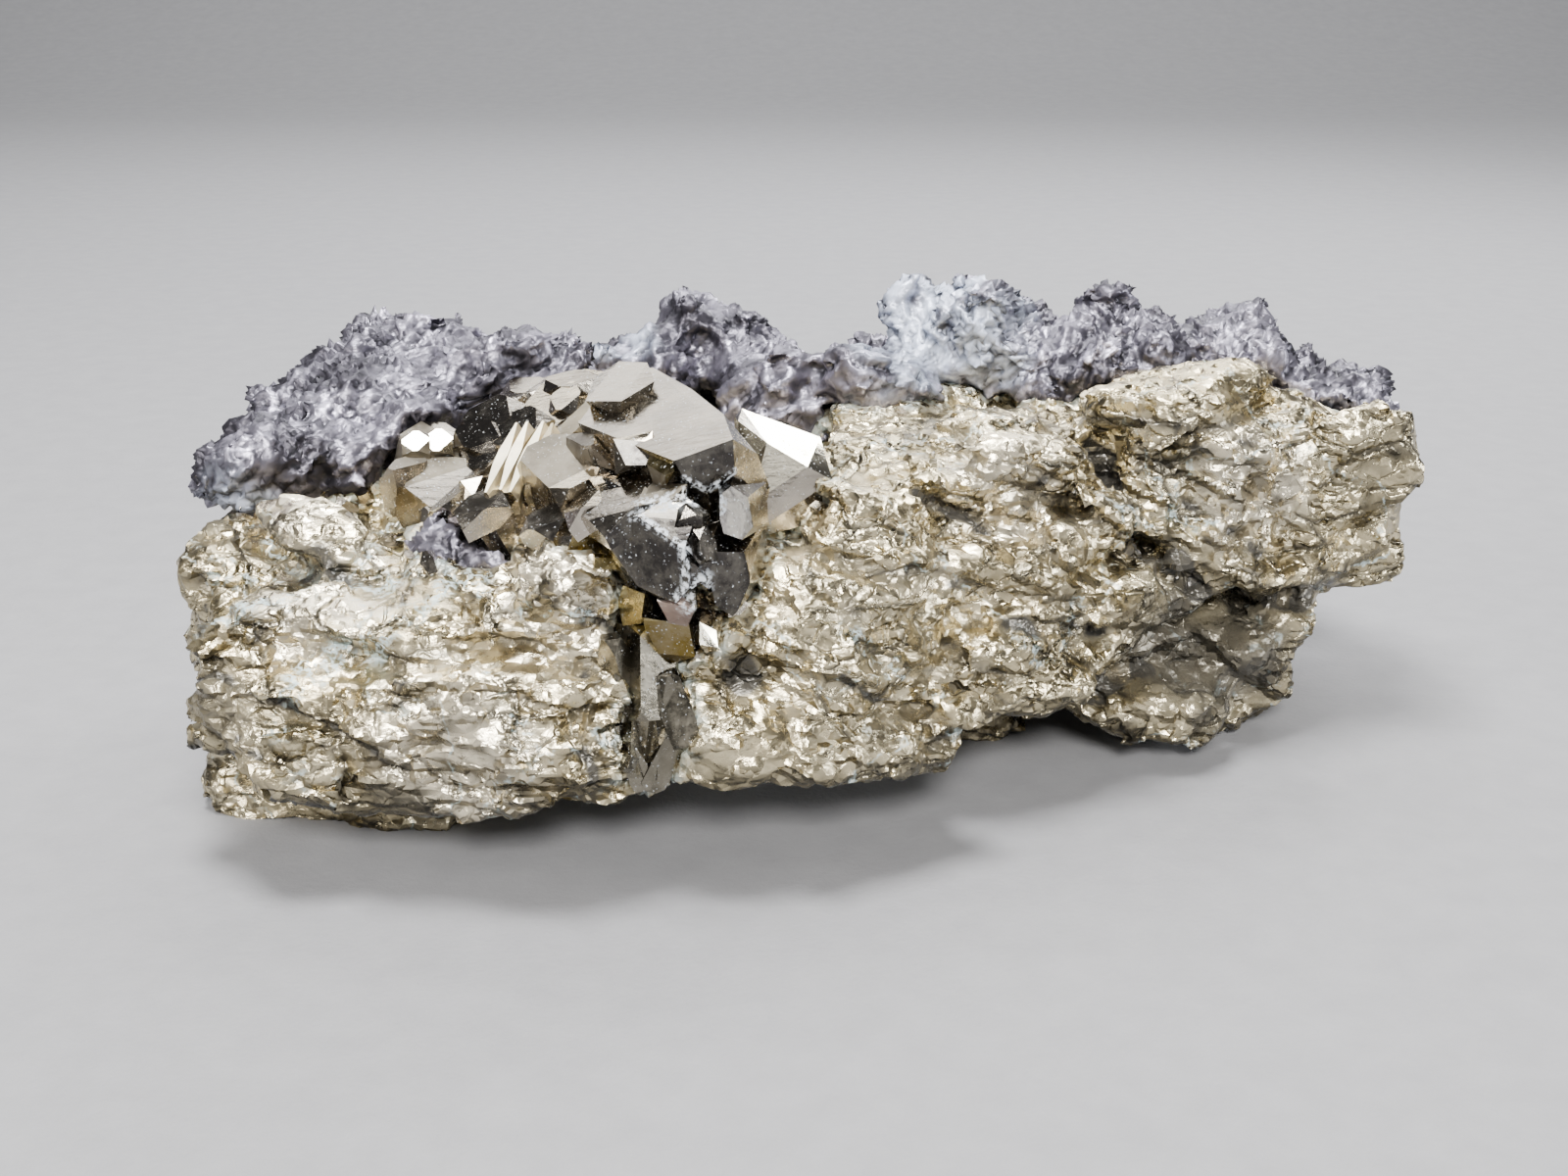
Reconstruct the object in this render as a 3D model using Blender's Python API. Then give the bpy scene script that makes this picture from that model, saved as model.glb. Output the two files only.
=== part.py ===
"""A hand specimen of franckeite on pyrite.

The pyrite mass is a broken, hackly block that rests on a flat break underneath. A cluster of
sharp pyrite crystals sits in a socket in its top, and dark, crumpled crusts of franckeite cap
its left end and its back, with a small patch in a hollow beside the crystals.
Sizes are in millimetres, turned into metres as the meshes are made. X runs along the specimen,
Y away from its front, and Z up from the surface that it rests on.
"""

import itertools
import math
import random

import bmesh
import bpy
from mathutils import Euler, Matrix, Vector

MM = 0.001

# Grain of the skins that join the lumps
PYRITE_VOXEL = 0.75
CRUST_VOXEL = 0.7
PIT_VOXEL = 0.4
CLEAN_VOXEL = 0.5

# How finely the faces of each skin are cut
PYRITE_TRIANGLES = 4250
CRUST_TRIANGLES_PER_MM2 = 0.75
FLATNESS = math.radians(1.0)
SLIVER = 0.02
MENDING_ROUNDS = 8

# Relief of the broken pyrite: feature size and height. The hackles bulge out between creases.
SWELLS = (8.0, 1.4)
HACKLES = (4.4, -1.1)
CRUMBLE = (2.2, 0.6)

# Relief of the franckeite: feature size and height
FOLDS = (2.8, 1.8)
CRUMPLE = (1.8, 1.6)
CURLS_PER_LUMP = 4
CURL_SHARE = (0.28, 0.42)

# Space left between the crystals and the mass, and between a crust and the mass
GAP = 0.35
CRUST_GAP = 0.5

# The flat break underneath: a slab as large as this is taken off below the resting height
SURFACE_SIZE = (200.0, 200.0, 40.0)


# Scene, materials and textures


def clear_scene():
    """Removes whatever the file holds."""
    for old in list(bpy.data.objects):
        bpy.data.objects.remove(old)


def mineral(name, colour, roughness, metallic):
    """A Principled material for one mineral."""
    material = bpy.data.materials.new(name)
    material.use_nodes = True
    shader = material.node_tree.nodes["Principled BSDF"]
    shader.inputs["Base Color"].default_value = (*colour, 1.0)
    shader.inputs["Roughness"].default_value = roughness
    shader.inputs["Metallic"].default_value = metallic
    return material


def grain(name, kind, size):
    """A procedural texture for displacing a surface, with features of this size in mm."""
    texture = bpy.data.textures.new(name, type=kind)
    texture.noise_scale = size * MM
    return texture


# Building blocks


def keep_inside(shape, point, normal):
    """Cuts a convex shape by a plane and keeps the side that the normal points away from."""
    everything = shape.verts[:] + shape.edges[:] + shape.faces[:]
    cut = bmesh.ops.bisect_plane(
        shape, geom=everything, plane_co=point, plane_no=normal, clear_outer=True
    )
    rim = [item for item in cut["geom_cut"] if isinstance(item, bmesh.types.BMEdge)]
    if rim:
        bmesh.ops.contextual_create(shape, geom=rim)


def add_to(mesh, shape):
    """Joins a finished shape to a mesh."""
    together = bmesh.new()
    together.from_mesh(mesh)
    part = bpy.data.meshes.new("part")
    bmesh.ops.recalc_face_normals(shape, faces=shape.faces)
    shape.to_mesh(part)
    shape.free()
    together.from_mesh(part)
    together.to_mesh(mesh)
    together.free()
    bpy.data.meshes.remove(part)


def chunk(mesh, centre, size, turn=(0.0, 0.0, 0.0), seed=1, cuts=9, trim=0.78):
    """A broken block: a box whose corners and edges are struck off by flat fractures."""
    rolls = random.Random(seed)
    shape = bmesh.new()
    bmesh.ops.create_cube(shape, size=2.0)
    for _ in range(cuts):
        direction = Vector([rolls.uniform(-1.0, 1.0) for _ in range(3)]).normalized()
        reach = sum(abs(part) for part in direction)
        keep_inside(shape, direction * reach * rolls.uniform(trim, 0.94), direction)
    place = Matrix.Translation(Vector(centre) * MM)
    place @= Euler([math.radians(angle) for angle in turn]).to_matrix().to_4x4()
    place @= Matrix.Diagonal([0.5 * side * MM for side in size] + [1.0])
    bmesh.ops.transform(shape, matrix=place, verts=shape.verts)
    add_to(mesh, shape)


def boulder(mesh, corners):
    """A block with flat sides, stretched over the corner points given in mm."""
    shape = bmesh.new()
    for corner in corners:
        shape.verts.new(Vector(corner) * MM)
    bmesh.ops.convex_hull(shape, input=shape.verts)
    loose = [vert for vert in shape.verts if not vert.link_faces]
    bmesh.ops.delete(shape, geom=loose, context="VERTS")
    add_to(mesh, shape)


def ledges(mesh, start, end, count, size, rise, seed):
    """A row of overlapping splintery ledges from start to end, each one rising to the right."""
    rolls = random.Random(seed)
    for step in range(count):
        along = (step + 0.5 + rolls.uniform(-0.2, 0.2)) / count
        centre = Vector(start).lerp(Vector(end), along)
        centre += Vector([rolls.uniform(-0.5, 0.5) for _ in range(3)])
        scale = rolls.uniform(0.8, 1.25)
        turn = (rolls.uniform(-30, 5), rise + rolls.uniform(-12, 12), rolls.uniform(-20, 20))
        chunk(mesh, centre, Vector(size) * scale, turn, seed * 20 + step, cuts=8, trim=0.62)


def pebble(mesh, centre, size, turn=(0.0, 0.0, 0.0)):
    """A rounded lump, the shape that a crust of franckeite grows in."""
    shape = bmesh.new()
    bmesh.ops.create_icosphere(shape, subdivisions=3, radius=1.0)
    place = Matrix.Translation(Vector(centre) * MM)
    place @= Euler([math.radians(angle) for angle in turn]).to_matrix().to_4x4()
    place @= Matrix.Diagonal([0.5 * side * MM for side in size] + [1.0])
    bmesh.ops.transform(shape, matrix=place, verts=shape.verts)
    add_to(mesh, shape)


def crystal(mesh, corners, swell=0.0):
    """A crystal with flat faces, stretched over its corner points. swell pushes every face out
    by that much, for the socket that it grows in."""
    shape = bmesh.new()
    for corner in corners:
        shape.verts.new(corner)
        if swell:
            for away in itertools.product((-swell, swell), repeat=3):
                shape.verts.new(Vector(corner) + Vector(away))
    bmesh.ops.convex_hull(shape, input=shape.verts)
    loose = [vert for vert in shape.verts if not vert.link_faces]
    bmesh.ops.delete(shape, geom=loose, context="VERTS")
    bmesh.ops.scale(shape, vec=(MM, MM, MM), verts=shape.verts)
    add_to(mesh, shape)


def block_crystal(mesh, centre, size, turn, corner=0.0, swell=0.0):
    """A box-shaped crystal whose eight corners are cut by small flat faces."""
    shape = bmesh.new()
    bmesh.ops.create_cube(shape, size=2.0)
    half = Vector(size) * 0.5 + Vector((swell, swell, swell))
    bmesh.ops.scale(shape, vec=half, verts=shape.verts)
    if corner:
        for sx in (-1, 1):
            for sy in (-1, 1):
                for sz in (-1, 1):
                    tip = Vector((sx * half.x, sy * half.y, sz * half.z))
                    normal = Vector((sx, sy, sz)).normalized()
                    keep_inside(shape, tip - normal * corner * min(size) * 0.5, normal)
    place = Matrix.Translation(Vector(centre))
    place @= Euler([math.radians(angle) for angle in turn]).to_matrix().to_4x4()
    bmesh.ops.transform(shape, matrix=place, verts=shape.verts)
    bmesh.ops.scale(shape, vec=(MM, MM, MM), verts=shape.verts)
    add_to(mesh, shape)


def new_object(name, mesh, material=None):
    """Links an object for this mesh at the origin."""
    made = bpy.data.objects.new(name, mesh)
    bpy.context.scene.collection.objects.link(made)
    if material:
        mesh.materials.append(material)
    return made


def settle(made):
    """Replaces an object's mesh by what its modifiers make of it, and drops the modifiers."""
    graph = bpy.context.evaluated_depsgraph_get()
    graph.update()
    finished = bpy.data.meshes.new_from_object(made.evaluated_get(graph))
    made.modifiers.clear()
    made.data = finished


def keep_largest(made):
    """Drops the crumbs that a cut leaves, so that one closed body is left."""
    shape = bmesh.new()
    shape.from_mesh(made.data)
    unseen = set(shape.verts)
    bodies = []
    while unseen:
        body, edge = set(), [unseen.pop()]
        while edge:
            vert = edge.pop()
            body.add(vert)
            near = {link.other_vert(vert) for link in vert.link_edges} & unseen
            unseen -= near
            edge.extend(near)
        bodies.append(body)
    bodies.sort(key=len)
    for body in bodies[:-1]:
        bmesh.ops.delete(shape, geom=list(body), context="VERTS")
    shape.to_mesh(made.data)
    shape.free()


def fuse(made, voxel):
    """Joins overlapping lumps into one skin."""
    remesh = made.modifiers.new("fuse", "REMESH")
    remesh.mode = "VOXEL"
    remesh.voxel_size = voxel * MM


def roughen(made, texture, height, level=0.5):
    """Raises the surface along its normals by a texture."""
    displace = made.modifiers.new(texture.name, "DISPLACE")
    displace.texture = texture
    displace.texture_coords = "LOCAL"
    displace.strength = height * MM
    displace.mid_level = level


def thin_out(made, triangles):
    """Collapses a dense skin to about this many triangles."""
    settle(made)
    made.data.calc_loop_triangles()
    share = triangles / max(1, len(made.data.loop_triangles))
    if share < 1.0:
        decimate = made.modifiers.new("thin out", "DECIMATE")
        decimate.ratio = share
        decimate.use_collapse_triangulate = True
        settle(made)
        mend(made)


def mend(made):
    """Takes out the pinched corners that thinning leaves, and closes the skin over them."""
    shape = bmesh.new()
    shape.from_mesh(made.data)
    for _ in range(MENDING_ROUNDS):
        bmesh.ops.dissolve_degenerate(shape, dist=SLIVER * MM, edges=shape.edges)
        pinched = {vert for vert in shape.verts if not vert.is_manifold}
        for edge in shape.edges:
            if len(edge.link_faces) != 2:
                pinched.update(edge.verts)
        if not pinched:
            break
        bmesh.ops.delete(shape, geom=list(pinched), context="VERTS")
        rim = [edge for edge in shape.edges if len(edge.link_faces) == 1]
        bmesh.ops.holes_fill(shape, edges=rim, sides=0)
    bmesh.ops.triangulate(shape, faces=shape.faces)
    bmesh.ops.recalc_face_normals(shape, faces=shape.faces)
    shape.to_mesh(made.data)
    shape.free()


def cut_away(made, cutter):
    """Takes a cutter's volume away from a rough skin."""
    boolean = made.modifiers.new("cut", "BOOLEAN")
    boolean.operation = "DIFFERENCE"
    boolean.solver = "MANIFOLD"
    boolean.object = cutter
    settle(made)


def as_cutter(name, mesh):
    """A helper that only cuts, and isn't part of the specimen."""
    cutter = new_object(name, mesh)
    cutter.hide_render = True
    cutter.display_type = "WIRE"
    return cutter


def clearance(made, gap):
    """A cutter with the shape of a solid, grown by the gap."""
    cutter = as_cutter(made.name + "_clearance", made.data.copy())
    grow = cutter.modifiers.new("grow", "DISPLACE")
    grow.strength = gap * MM
    grow.mid_level = 0.0
    fuse(cutter, CLEAN_VOXEL)
    settle(cutter)
    return cutter


def cut_flat_underneath(made):
    """Breaks the underside off flat, where the specimen rests."""
    mesh = bpy.data.meshes.new("surface")
    shape = bmesh.new()
    bmesh.ops.create_cube(shape, size=1.0)
    bmesh.ops.scale(shape, vec=Vector(SURFACE_SIZE) * MM, verts=shape.verts)
    bmesh.ops.translate(shape, vec=(0.0, 0.0, -0.5 * SURFACE_SIZE[2] * MM), verts=shape.verts)
    shape.to_mesh(mesh)
    shape.free()
    cut_away(made, as_cutter("surface", mesh))


# Pyrite mass

PYRITE_BOULDERS = {
    "front_left": [
        (-35.0, -14.0, 15.4), (-28.0, -16.2, 16.6), (-19.8, -17.8, 17.2), (-9.5, -19.5, 17.0),
        (-34.6, -17.6, 8.0), (-30.6, -20.2, 4.6), (-23.0, -22.2, 5.4), (-16.6, -23.6, 6.4),
        (-9.0, -23.2, 6.6), (-33.0, -2.0, 16.4), (-10.0, -2.0, 17.4), (-32.0, -2.0, 5.0),
        (-10.0, -2.0, 5.0), (-9.0, -21.8, 13.0),
    ],
    "left_end": [
        (-38.0, -9.5, 15.4), (-36.2, -8.0, 18.8), (-32.0, -9.4, 17.4), (-33.0, -13.0, 15.6),
        (-36.8, -11.4, 14.8), (-35.4, 0.0, 17.0), (-30.0, 0.0, 17.0), (-34.0, -4.0, 13.0),
    ],
    "left_rim": [
        (-38.4, -9.5, 14.2), (-38.4, -10.0, 10.6), (-37.6, -10.8, 9.2), (-35.6, -12.4, 9.4),
        (-35.0, -12.4, 14.4), (-35.0, -3.0, 9.6), (-36.0, -3.0, 15.0),
    ],
    "lens": [
        (-33.2, -9.6, 20.0), (-29.4, -9.2, 21.8), (-25.4, -10.4, 20.6), (-23.8, -12.8, 18.6),
        (-26.6, -14.4, 17.8), (-30.6, -13.0, 18.8), (-28.0, -8.0, 16.0),
    ],
    "knob": [
        (-12.8, -18.4, 22.3), (-10.4, -18.8, 21.6), (-15.4, -19.8, 19.6), (-15.2, -20.2, 17.8),
        (-9.0, -20.2, 17.4), (-9.2, -19.5, 19.2), (-12.2, -22.2, 17.0), (-9.5, -21.8, 16.2),
        (-12.6, -22.0, 19.4), (-12.0, -14.0, 20.0), (-10.0, -13.0, 16.0), (-15.0, -14.0, 16.0),
    ],
    "flat_faced": [
        (-6.0, -23.6, 6.8), (-1.2, -22.6, 6.6), (-5.6, -23.4, 10.6), (-1.2, -22.6, 11.0),
        (-5.0, -16.0, 6.8), (-1.0, -16.0, 6.8), (-5.0, -16.0, 13.6), (-1.0, -16.0, 13.6),
    ],
    "under_crystals": [
        (-9.4, -21.6, 7.4), (-5.0, -21.6, 7.6), (-9.4, -20.6, 14.6), (-3.0, -19.6, 15.6),
        (1.0, -19.6, 15.2), (1.0, -21.0, 8.0), (-9.4, -4.0, 17.6), (1.0, -4.0, 18.6),
        (-9.0, -4.0, 5.6), (1.0, -4.0, 5.6),
    ],
    "middle_low": [
        (0.5, -21.6, 6.6), (5.0, -19.2, 6.0), (9.5, -15.8, 5.4), (0.0, -20.8, 12.0),
        (6.0, -17.2, 13.0), (10.0, -13.8, 11.0), (-0.5, -16.0, 19.6), (4.0, -13.2, 21.0),
        (0.0, 0.0, 18.6), (12.0, 0.0, 17.0), (0.0, 0.0, 5.0), (12.0, -2.0, 5.0),
    ],
    "middle_slab": [
        (9.0, -13.3, 6.6), (12.5, -11.3, 6.0), (18.0, -8.4, 6.2), (22.6, -6.0, 9.4),
        (9.0, -12.3, 12.0), (15.4, -9.6, 11.0), (22.0, -5.8, 11.4), (25.6, -3.2, 12.2),
        (8.0, -7.2, 19.6), (14.0, -5.2, 20.0), (20.0, -2.0, 19.4), (8.0, 6.0, 19.0),
        (24.0, 6.0, 18.0), (10.0, 4.0, 5.0), (24.0, 4.0, 5.0),
    ],
    "middle_top": [
        (2.6, -3.0, 21.6), (6.3, -4.0, 22.4), (13.8, 0.6, 23.0), (19.4, 0.6, 22.6),
        (18.0, 7.0, 20.4), (3.0, 7.0, 19.6), (4.0, -9.0, 18.0), (18.0, -4.6, 18.0),
    ],
    "right_block": [
        (20.2, 0.4, 24.4), (24.4, 0.6, 24.4), (28.6, 5.2, 25.6), (36.0, 4.8, 23.0),
        (42.8, 4.6, 20.4), (42.8, 3.6, 9.8), (36.0, 1.8, 9.8), (26.4, -0.8, 12.0),
        (21.8, -0.8, 16.8), (29.0, -1.6, 17.0), (36.0, 1.2, 16.0), (41.6, 14.0, 18.4),
        (42.2, 14.0, 11.0), (20.0, 14.0, 20.4), (20.0, 14.0, 10.0),
    ],
    "right_lower": [
        (26.0, -1.4, 8.4), (35.4, 0.2, 9.6), (35.2, 0.6, 3.2), (33.0, 0.6, 1.2),
        (29.0, -0.8, 2.2), (26.4, -0.8, 4.6), (35.4, 12.0, 10.4), (33.4, 12.0, -0.6),
        (26.0, 12.0, -0.6), (26.0, 12.0, 10.0), (32.0, 5.0, -0.6), (27.0, 4.0, -0.6),
    ],
    "right_lump": [
        (19.2, -6.2, 4.6), (21.6, -6.8, 5.4), (26.0, -6.0, 5.8), (29.0, -4.6, 4.4),
        (28.8, -4.4, 2.4), (25.0, -5.8, 2.4), (20.0, 2.0, 5.0), (30.0, 2.0, 4.6),
        (28.0, 4.0, -0.6), (21.0, 4.0, 1.5),
    ],
}

PYRITE_BLOCKS = [
    # centre, size, turn, seed
    ((-1, 6.5, 11), (50, 25, 13.5), (0, 0, 8), 11),
    ((-27, -5.2, 3.6), (17, 15, 8.6), (4, 0, -14), 30),
    ((-4, 6, 4.2), (38, 18, 9.4), (0, 0, 7), 31),
    ((-9, -7, 17.0), (24, 19, 6), (3, 0, -6), 32),
    ((-23, 6, 16.4), (24, 19, 7), (2, -4, -8), 33),
    ((-14, 14.8, 10.6), (30, 12, 13.5), (8, 0, 9), 34),
    ((11, 15.8, 11), (30, 11, 13.5), (14, 0, -7), 35),
    ((30, 14, 11.6), (18, 13, 13), (6, 0, -16), 36),
    ((-31, 5, 11), (10.5, 17, 11.5), (0, 6, 6), 37),
    ((0, 20.5, 8), (22, 7, 10), (14, 0, 0), 38),
    ((13, 8, 19), (20, 14, 5), (0, 0, 10), 39),
    ((4.6, -11.4, 19.6), (6, 6, 4.6), (-12, 12, 20), 40),
]

LEDGES = [
    # start, end, count, size, rise, seed
    ((-32.0, -15.4, 14.2), (-17.0, -18.8, 15.0), 4, (8.0, 3.4, 2.4), -4, 41),
    ((-32.0, -17.6, 11.2), (-12.0, -21.6, 13.2), 6, (7.0, 3.0, 2.4), -10, 42),
    ((-28.8, -19.8, 8.2), (-13.0, -22.6, 9.6), 5, (6.5, 2.8, 2.4), -8, 43),
    ((-36.0, -10.6, 17.0), (-33.0, -12.0, 16.0), 2, (4.0, 3.0, 2.0), -10, 44),
    ((1.0, -21.0, 8.4), (9.5, -15.4, 8.0), 5, (3.6, 3.0, 2.8), -8, 45),
    ((1.0, -20.4, 12.0), (9.0, -14.6, 11.6), 4, (3.4, 3.0, 2.8), -14, 46),
    ((0.6, -17.6, 16.0), (9.6, -11.0, 16.4), 5, (3.6, 3.2, 2.8), -14, 47),
    ((5.0, -8.6, 20.4), (18.0, -3.0, 21.6), 4, (5.0, 3.6, 2.6), -14, 48),
    ((9.6, -10.8, 14.8), (21.0, -5.0, 17.0), 4, (5.6, 3.4, 2.6), -20, 49),
    ((10.6, -12.0, 10.4), (22.4, -5.6, 13.6), 5, (5.6, 3.4, 2.4), -22, 50),
    ((10.6, -12.2, 7.6), (18.4, -8.4, 8.8), 3, (4.6, 3.0, 2.2), -14, 51),
    ((22.6, 0.0, 22.6), (29.8, 3.6, 24.4), 4, (4.8, 3.4, 2.6), -24, 52),
    ((23.4, -0.6, 19.8), (40.6, 3.2, 21.2), 5, (6.4, 3.2, 2.6), -24, 53),
    ((25.0, -1.4, 15.6), (41.2, 3.0, 17.6), 5, (6.4, 3.4, 2.8), -22, 54),
    ((27.4, -1.0, 12.2), (41.2, 3.2, 13.4), 4, (6.0, 3.0, 2.2), -16, 55),
    ((28.0, -0.8, 6.6), (34.4, 0.2, 7.2), 2, (5.0, 2.4, 2.2), -22, 56),
    ((14.0, 21.6, 14.0), (37.0, 17.0, 15.0), 5, (7.0, 5.0, 3.2), 16, 57),
    ((10.0, 22.0, 9.0), (36.0, 17.8, 9.6), 5, (7.6, 5.0, 3.4), 12, 61),
    ((-30.0, 16.6, 13.6), (10.0, 21.8, 14.4), 7, (7.6, 5.4, 3.4), 14, 58),
    ((-30.0, 15.6, 8.6), (8.0, 21.4, 8.0), 6, (8.0, 5.0, 3.6), 18, 62),
    ((40.6, 6.0, 17.6), (40.2, 12.6, 16.0), 3, (3.0, 4.4, 2.8), 10, 59),
    ((-35.6, 0.0, 12.0), (-34.6, 10.0, 12.0), 3, (3.0, 5.4, 2.8), 10, 60),
]

PITS = [
    # centre, size, turn
    ((-37.4, -11.0, 13.0), (2.6, 7.0, 3.6), (0, 0, 10)),
    ((-38.0, -11.5, 10.9), (4.0, 4.4, 1.5), (0, 0, 0)),
    ((-30.0, -13.8, 17.4), (7.4, 3.6, 2.0), (0, 24, -10)),
    ((21.4, -0.8, 20.3), (2.2, 7.0, 5.4), (10, 0, 6)),
    ((24.0, -2.2, 14.1), (3.4, 6.0, 2.8), (0, 16, 0)),
    ((5.6, -9.6, 20.3), (2.2, 4.0, 2.4), (0, 0, 20)),
    ((-18.6, -12.8, 18.6), (7.4, 5.6, 5.6), (0, 0, -16)),
    ((27.4, -2.4, 9.4), (9.0, 6.0, 1.8), (0, 4, 12)),
    ((21.4, -7.4, 7.0), (6.0, 7.0, 2.4), (0, -20, 20)),
    ((10.4, -13.8, 8.6), (1.8, 3.6, 6.0), (0, -14, 20)),
]


def pyrite_mass(material):
    """The broken mass: overlapping blocks, fused, roughened and pitted, broken off flat below."""
    mesh = bpy.data.meshes.new("pyrite_mass")
    for corners in PYRITE_BOULDERS.values():
        boulder(mesh, corners)
    for centre, size, turn, seed in PYRITE_BLOCKS:
        chunk(mesh, centre, size, turn, seed)
    for row in LEDGES:
        ledges(mesh, *row)
    made = new_object("pyrite_mass", mesh)
    fuse(made, PYRITE_VOXEL)
    roughen(made, grain("swells", "CLOUDS", SWELLS[0]), SWELLS[1])
    roughen(made, grain("hackles", "VORONOI", HACKLES[0]), HACKLES[1])
    roughen(made, grain("crumble", "CLOUDS", CRUMBLE[0]), CRUMBLE[1])
    fuse(made, CLEAN_VOXEL)
    settle(made)
    pits = bpy.data.meshes.new("pits")
    for centre, size, turn in PITS:
        pebble(pits, centre, size, turn)
    hollows = as_cutter("pits", pits)
    fuse(hollows, PIT_VOXEL)
    cut_away(made, hollows)
    keep_largest(made)
    thin_out(made, PYRITE_TRIANGLES)
    made.data.materials.clear()
    made.data.materials.append(material)
    return made


# Pyrite crystals

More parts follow.
